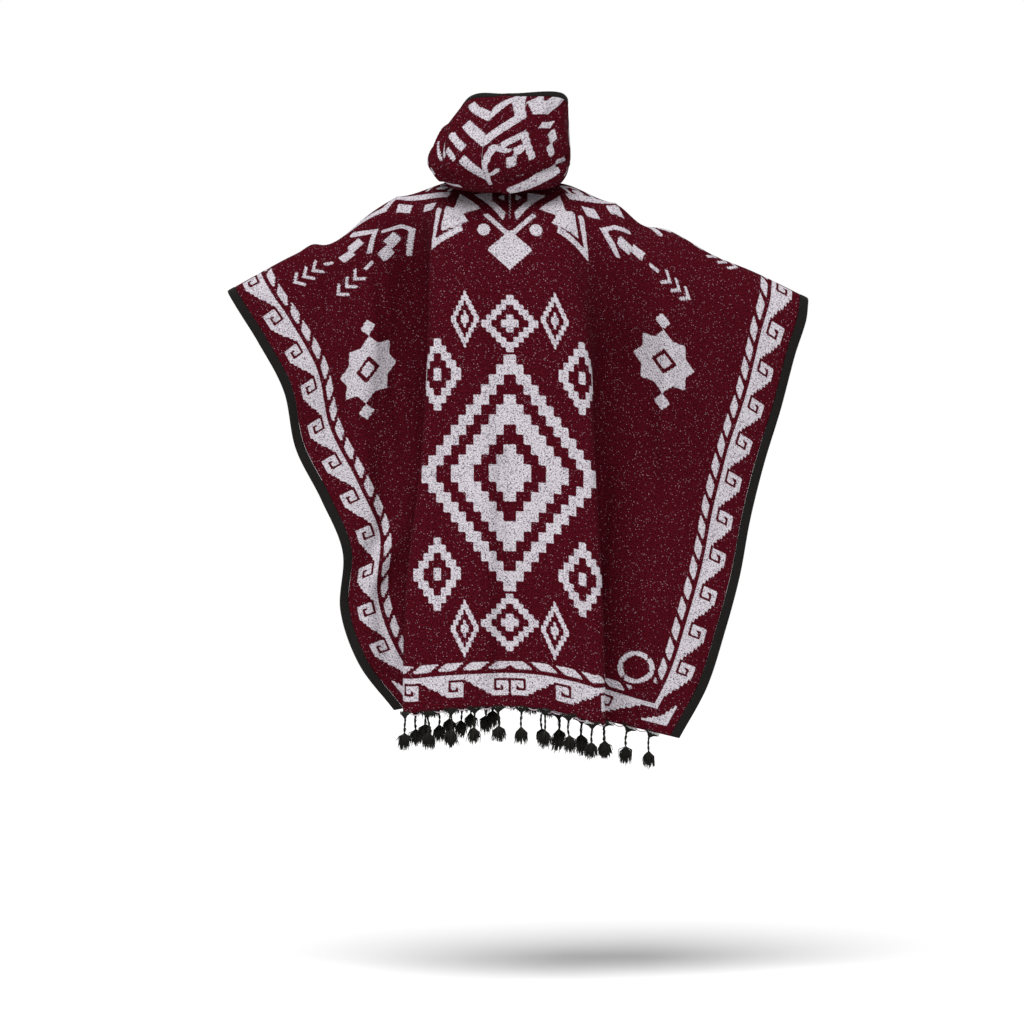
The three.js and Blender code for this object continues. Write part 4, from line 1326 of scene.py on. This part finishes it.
def speckle_group():
    """Node group: a mask, 1 on small soft-edged specks, from a vector and the specks' scale and share."""
    group = bpy.data.node_groups.new("Specks", "ShaderNodeTree")
    socket(group, "Vector", "INPUT", "NodeSocketVector")
    socket(group, "Scale", "INPUT", "NodeSocketFloat", 500.0, 1.0, 5000.0)
    socket(group, "Share", "INPUT", "NodeSocketFloat", 0.1, 0.0, 1.0)
    socket(group, "Mask", "OUTPUT", "NodeSocketFloat")
    given, end = group.nodes.new("NodeGroupInput").outputs, group.nodes.new("NodeGroupOutput")
    cells = node(group, "TexVoronoi", {"Vector": given["Vector"], "Scale": given["Scale"]}, feature="F1")
    split = node(group, "SeparateColor", {"Color": cells.outputs["Color"]})
    chosen = node(group, "Math", {0: split.outputs["Red"], 1: given["Share"]}, operation="LESS_THAN")
    near = node(group, "MapRange", {"Value": cells.outputs["Distance"], "From Min": 0.55, "From Max": 0.3})
    mask = node(group, "Math", {0: chosen.outputs["Value"], 1: near.outputs["Result"]}, operation="MULTIPLY")
    group.links.new(mask.outputs["Value"], end.inputs["Mask"])
    return group


def weave_group():
    """Node group: the height of a coarse ribbed weave, 0 to 1, from flat coordinates in metres."""
    group = bpy.data.node_groups.new("Weave height", "ShaderNodeTree")
    socket(group, "Vector", "INPUT", "NodeSocketVector")
    socket(group, "Height", "OUTPUT", "NodeSocketFloat")
    flat, end = group.nodes.new("NodeGroupInput").outputs["Vector"], group.nodes.new("NodeGroupOutput")
    ribs = {"Vector": flat, "Scale": 85.0, "Distortion": 2.2, "Detail": 2.0, "Detail Scale": 3.0}
    wave = node(group, "TexWave", ribs, wave_type="BANDS", bands_direction="DIAGONAL")
    grain = node(group, "TexNoise", {"Vector": flat, "Scale": 620.0, "Detail": 3.0})
    share = node(group, "Math", {0: grain.outputs["Fac"], 1: 0.45}, operation="MULTIPLY")
    height = node(group, "Math", {0: wave.outputs["Fac"], 1: 0.55, 2: share.outputs["Value"]},
                  operation="MULTIPLY_ADD")
    group.links.new(height.outputs["Value"], end.inputs["Height"])
    return group


def shader(name, roughness, sheen, specular=0.2):
    """A new material, its node tree and the inputs of its main shader."""
    material = bpy.data.materials.new(name)
    material.use_nodes = True
    inputs = material.node_tree.nodes["Principled BSDF"].inputs
    inputs["Roughness"].default_value = roughness
    inputs["Specular IOR Level"].default_value = specular
    inputs["Sheen Weight"].default_value = sheen
    inputs["Sheen Roughness"].default_value = 0.5
    return material, material.node_tree, inputs


def mixed(tree, factor, first, second):
    """A mix of two colours or sockets."""
    first, second = (value if isinstance(value, bpy.types.NodeSocket) else (*value, 1.0)
                     for value in (first, second))
    return node(tree, "Mix", {"Factor": factor, 6: first, 7: second}, data_type="RGBA").outputs[2]


def finished_surface(tree, inputs, colour, height, strength, distance):
    """Links a colour and a relief into the main shader."""
    relief = node(tree, "Bump", {"Strength": strength, "Distance": distance, "Height": height})
    tree.links.new(colour, inputs["Base Color"])
    tree.links.new(relief.outputs["Normal"], inputs["Normal"])


def cloth_material(look):
    """The two-coloured weave: white yarn where ink is above 0, burgundy elsewhere, both flecked."""
    material, tree, inputs = shader("Jacquard wool", look.roughness, 0.0, 0.03)
    flat = node(tree, "UVMap", uv_map="flat").outputs["UV"]
    ink = node(tree, "Attribute", attribute_name="ink")
    ragged = node(tree, "TexNoise", {"Vector": flat, "Scale": 420.0, "Detail": 2.0})
    centred = node(tree, "Math", {0: ragged.outputs["Fac"], 1: RAGGED_EDGE, 2: -RAGGED_EDGE / 2},
                   operation="MULTIPLY_ADD")
    total = node(tree, "Math", {0: ink.outputs["Fac"], 1: centred.outputs["Value"]}, operation="ADD")
    step = node(tree, "MapRange", {"Value": total.outputs["Value"], "From Min": -SOFT_EDGE,
                                   "From Max": SOFT_EDGE})
    pale, dark = (
        node(tree, "Group", {"Vector": flat, "Scale": scale, "Share": share},
             node_tree=bpy.data.node_groups["Specks"]).outputs["Mask"]
        for scale, share in ((600.0, look.white_flecks), (420.0, look.dark_flecks)))
    thread = node(tree, "TexNoise", {"Vector": flat, "Scale": 360.0, "Detail": 2.0})
    twist = node(tree, "MapRange", {"Value": thread.outputs["Fac"], "From Min": 0.36, "From Max": 0.62})
    twist = twist.outputs["Result"]
    ground = mixed(tree, pale, mixed(tree, twist, look.burgundy_dark, look.burgundy), look.fleck)
    figure = mixed(tree, dark, mixed(tree, twist, look.white_dark, look.white), look.speck)
    weave = node(tree, "Group", {"Vector": flat}, node_tree=bpy.data.node_groups["Weave height"])
    colour = mixed(tree, step.outputs["Result"], ground, figure)
    finished_surface(tree, inputs, colour, weave.outputs["Height"], look.relief, 0.0012)
    return material


def yarn_material(name, colour, fleck, scale, relief_height):
    """Dark yarn with paler fibres, for the bands and tassels."""
    material, tree, inputs = shader(name, 0.95, 0.03, 0.1)
    place = node(tree, "TexCoord").outputs["Object"]
    grain = node(tree, "TexNoise", {"Vector": place, "Scale": scale, "Detail": 3.0}).outputs["Fac"]
    sharp = node(tree, "MapRange", {"Value": grain, "From Min": 0.4, "From Max": 0.75})
    colour = mixed(tree, sharp.outputs["Result"], colour, fleck)
    finished_surface(tree, inputs, colour, grain, 0.6, relief_height)
    return material


def colour_property(name, description, default):
    """A colour that the user may change."""
    return bpy.props.FloatVectorProperty(name=name, description=description, subtype="COLOR", size=3,
                                         min=0.0, max=1.0, default=default)


def number_property(name, description, default, low=0.0, high=1.0, **more):
    """A number that the user may change."""
    return bpy.props.FloatProperty(name=name, description=description, default=default,
                                   min=low, max=high, **more)


class PonchoClothLook(bpy.types.PropertyGroup):
    """Colours and surface of the woven cloth."""

    burgundy: colour_property("Burgundy", "Colour of the ground yarn in the light", (0.086, 0.0040, 0.0105))
    burgundy_dark: colour_property("Deep burgundy", "Colour between the ground yarns",
                                   (0.018, 0.0007, 0.0022))
    white: colour_property("White", "Colour of the figure yarn", (0.64, 0.60, 0.64))
    white_dark: colour_property("Grey white", "Colour between the figure yarns", (0.34, 0.31, 0.35))
    fleck: colour_property("Fleck", "Colour of the pale flecks on burgundy", (0.34, 0.22, 0.27))
    speck: colour_property("Speck", "Colour of the dark specks on white", (0.07, 0.03, 0.07))
    white_flecks: number_property("Pale flecks", "Share of cells with a pale fleck", 0.05, subtype="FACTOR")
    dark_flecks: number_property("Dark specks", "Share of cells with a dark speck", 0.34, subtype="FACTOR")
    roughness: number_property("Roughness", "Roughness of the wool", 0.95, subtype="FACTOR")
    relief: number_property("Relief", "Strength of the weave's relief", 0.6, subtype="FACTOR")


class PonchoTrimLook(bpy.types.PropertyGroup):
    """Colours of the bands and tassels."""

    band: colour_property("Band", "Colour of the edge bands", (0.0055, 0.005, 0.0045))
    band_fleck: colour_property("Band fibre", "Colour of the bands' paler fibres", (0.018, 0.016, 0.014))
    thread: colour_property("Thread", "Colour of the stitches and selvage", (0.50, 0.42, 0.46))
    thread_fleck: colour_property("Thread fibre", "Colour of the thread's darker fibres", (0.22, 0.12, 0.16))
    tassel: colour_property("Tassel", "Colour of the tassels", (0.0075, 0.007, 0.0055))
    tassel_fleck: colour_property("Tassel fibre", "Colour of the tassels' paler fibres",
                                  (0.026, 0.025, 0.020))


class PonchoStageLook(bpy.types.PropertyGroup):
    """Camera, light and floor."""

    view_width: number_property("View width", "Width of the view at the garment",
                                1.931, 0.5, 10.0, unit="LENGTH")
    distance: number_property("Camera distance", "Distance from the camera to the back of the garment",
                              9.0, 1.0, 20.0, unit="LENGTH")
    floor_height: number_property("Floor height", "Height of the floor below the shoulder line",
                                  -1.512, -5.0, 0.0, unit="LENGTH")
    backdrop: number_property("Backdrop", "Brightness of the pale surroundings as seen", 1.0, 0.0, 10.0)
    ambient: number_property("Ambient light", "Strength of the surroundings' light", 0.38, 0.0, 10.0)


def finish_piece(piece, material, slot, *solids):
    """Gives a piece its material and body, and hides the solids it stands for."""
    piece.data.materials.append(material)
    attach(piece, "root")
    if solids:
        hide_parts(*solids)


def shared(name, make):
    """A node group or material made once and found by its name after that."""
    found = bpy.data.materials.get(name) or bpy.data.node_groups.get(name)
    return found or make()


def cloth(scene):
    """The cloth's material, made on first use."""
    shared("Specks", speckle_group)
    shared("Weave height", weave_group)
    return shared("Jacquard wool", lambda: cloth_material(scene.poncho_cloth))


def yarn(scene, kind):
    """The material of the bands, tassels or thread, made on first use."""
    look = scene.poncho_trim
    name, scale, relief_height = YARNS[kind]
    colours = getattr(look, kind), getattr(look, kind + "_fleck")
    return shared(name, lambda: yarn_material(name, *colours, scale, relief_height))


# Names of the yarns, the scales of their grain and the heights of their relief in metres
YARNS = {
    "band": ("Band yarn", 900.0, 0.0008),
    "tassel": ("Tassel yarn", 700.0, 0.0005),
    "thread": ("Pale thread", 900.0, 0.0004),
}


class PONCHO_OT_body(bpy.types.Operator):
    """Build the back and front halves of the woven blanket."""

    bl_idname = "poncho.body"
    bl_label = "Blanket body"

    def execute(self, context):
        for part, name, solid in ((BACK, "blanket_back", "body_back"),
                                  (FRONT, "blanket_front", "body_front")):
            piece = body_panel(part, name)
            finish_piece(piece, cloth(context.scene), "cloth", solid)
        return {"FINISHED"}


class PONCHO_OT_hood(bpy.types.Operator):
    """Build the two hood panels."""

    bl_idname = "poncho.hood"
    bl_label = "Hood"

    def execute(self, context):
        for side, name, solid in ((1, "hood_panel_left", "hood_left"),
                                  (-1, "hood_panel_right", "hood_right")):
            piece = hood_panel(side, name)
            finish_piece(piece, cloth(context.scene), "cloth", solid)
        return {"FINISHED"}


class PONCHO_OT_sewing(bpy.types.Operator):
    """Sew the pale stitches below the neck and the selvage loops along the hems."""

    bl_idname = "poncho.sewing"
    bl_label = "Stitches and selvage"

    def execute(self, context):
        for piece in (seam_stitches("seam_stitches"), selvage(BACK, "selvage_back"),
                      selvage(FRONT, "selvage_front")):
            finish_piece(piece, yarn(context.scene, "thread"), "cloth")
        return {"FINISHED"}


class PONCHO_OT_bindings(bpy.types.Operator):
    """Build the black bands of the side edges and of the hood's opening."""

    bl_idname = "poncho.bindings"
    bl_label = "Edge bands"

    def execute(self, context):
        black = yarn(context.scene, "band")
        for side, name, solid in ((1, "side_band_left", "binding_left"),
                                  (-1, "side_band_right", "binding_right")):
            piece = side_band(side, name)
            finish_piece(piece, black, "binding", solid)
        piece = hood_band("hood_band")
        finish_piece(piece, black, "binding", "hood_binding")
        return {"FINISHED"}


class PONCHO_OT_fringe(bpy.types.Operator):
    """Build the knotted tassels of both hems."""

    bl_idname = "poncho.fringe"
    bl_label = "Tassels"

    def execute(self, context):
        for part, name, solid, seed in ((BACK, "tassels_back", "fringe_back", 11),
                                        (FRONT, "tassels_front", "fringe_front", 12)):
            finish_piece(fringe(part, name, seed), yarn(context.scene, "tassel"), "tassel", solid)
        return {"FINISHED"}


FLOOR_REACH = 14.0
SENSOR_WIDTH = 36.0
# The camera stands behind the garment, off the origin by these metres and the stage's distance
CAMERA_OFFSET = (-0.004, 0.07, -0.630)
# Soft lights: name, direction that the light comes from, width in degrees and strength
SUNS = (
    ("key", (0.16, 0.52, 0.86), 40.0, 2.8),
    ("fill", (-0.2, 0.3, 0.9), 90.0, 0.4),
)


class PONCHO_OT_stage(bpy.types.Operator):
    """Set the floor, the lights and the camera."""

    bl_idname = "poncho.stage"
    bl_label = "Stage"

    def execute(self, context):
        scene = context.scene
        look = scene.poncho_stage
        mesh = bpy.data.meshes.new("floor")
        corners = ((-1, -1), (1, -1), (1, 1), (-1, 1))
        mesh.from_pydata([(x * FLOOR_REACH, y * FLOOR_REACH, look.floor_height) for x, y in corners],
                         [], [(0, 1, 2, 3)])
        floor = bpy.data.objects.new("floor", mesh)
        scene.collection.objects.link(floor)
        paint, _, inputs = shader("Pale floor", 0.9, 0.0)
        inputs["Base Color"].default_value = (0.94, 0.94, 0.94, 1.0)
        mesh.materials.append(paint)
        world = bpy.data.worlds.new("Pale studio")
        world.use_nodes = True
        tree = world.node_tree
        backdrop = tree.nodes["Background"].inputs
        backdrop["Color"].default_value = (1.0, 1.0, 1.0, 1.0)
        seen = node(tree, "LightPath").outputs["Is Camera Ray"]
        level = node(tree, "MapRange", {"Value": seen, "To Min": look.ambient, "To Max": look.backdrop})
        tree.links.new(level.outputs["Result"], backdrop["Strength"])
        scene.world = world
        scene.view_settings.view_transform = "Standard"
        for name, source, wide, strength in SUNS:
            lamp = bpy.data.lights.new(name, "SUN")
            lamp.angle, lamp.energy = math.radians(wide), strength
            holder = bpy.data.objects.new(name, lamp)
            holder.rotation_euler = direction_angles(-np.array(source))
            scene.collection.objects.link(holder)
        lens = bpy.data.cameras.new("camera")
        lens.sensor_width = SENSOR_WIDTH
        lens.lens = lens.sensor_width * look.distance / look.view_width
        camera = bpy.data.objects.new("camera", lens)
        camera.location = (CAMERA_OFFSET[0], look.distance + CAMERA_OFFSET[1], CAMERA_OFFSET[2])
        camera.rotation_euler = (math.pi / 2, 0.0, math.pi)
        scene.collection.objects.link(camera)
        scene.camera = camera
        return {"FINISHED"}


def direction_angles(aim):
    """Turn that points a lamp, which shines down its own -Z, along a direction."""
    flat = math.hypot(aim[0], aim[1])
    return (math.atan2(flat, -aim[2]), 0.0, math.atan2(aim[1], aim[0]) - math.pi / 2)


class PONCHO_PT_panel(bpy.types.Panel):
    """The poncho's pieces and their looks."""

    bl_label = "Poncho"
    bl_idname = "PONCHO_PT_panel"
    bl_space_type = "VIEW_3D"
    bl_region_type = "UI"
    bl_category = "Poncho"

    def draw(self, context):
        for group, steps in (("poncho_cloth", (PONCHO_OT_body, PONCHO_OT_hood)),
                             ("poncho_trim", (PONCHO_OT_sewing, PONCHO_OT_bindings, PONCHO_OT_fringe)),
                             ("poncho_stage", (PONCHO_OT_stage,))):
            look = getattr(context.scene, group)
            box = self.layout.box()
            for key in look.__annotations__:
                box.prop(look, key)
            for step in steps:
                box.operator(step.bl_idname)


LOOKS = {
    "poncho_cloth": PonchoClothLook,
    "poncho_trim": PonchoTrimLook,
    "poncho_stage": PonchoStageLook,
}
STEPS = (PONCHO_OT_body, PONCHO_OT_hood, PONCHO_OT_sewing, PONCHO_OT_bindings, PONCHO_OT_fringe,
         PONCHO_OT_stage)
CLASSES = (*LOOKS.values(), *STEPS, PONCHO_PT_panel)


def register():
    """Registers the classes and the looks."""
    for item in CLASSES:
        bpy.utils.register_class(item)
    for name, look in LOOKS.items():
        setattr(bpy.types.Scene, name, bpy.props.PointerProperty(type=look))


def unregister():
    """Undoes register."""
    for name in LOOKS:
        delattr(bpy.types.Scene, name)
    for item in reversed(CLASSES):
        bpy.utils.unregister_class(item)


def main():
    """Builds the whole poncho and its stage."""
    register()
    bpy.ops.poncho.body()
    bpy.ops.poncho.hood()
    bpy.ops.poncho.sewing()
    bpy.ops.poncho.bindings()
    bpy.ops.poncho.fringe()
    bpy.ops.poncho.stage()


if __name__ == "__main__":
    main()
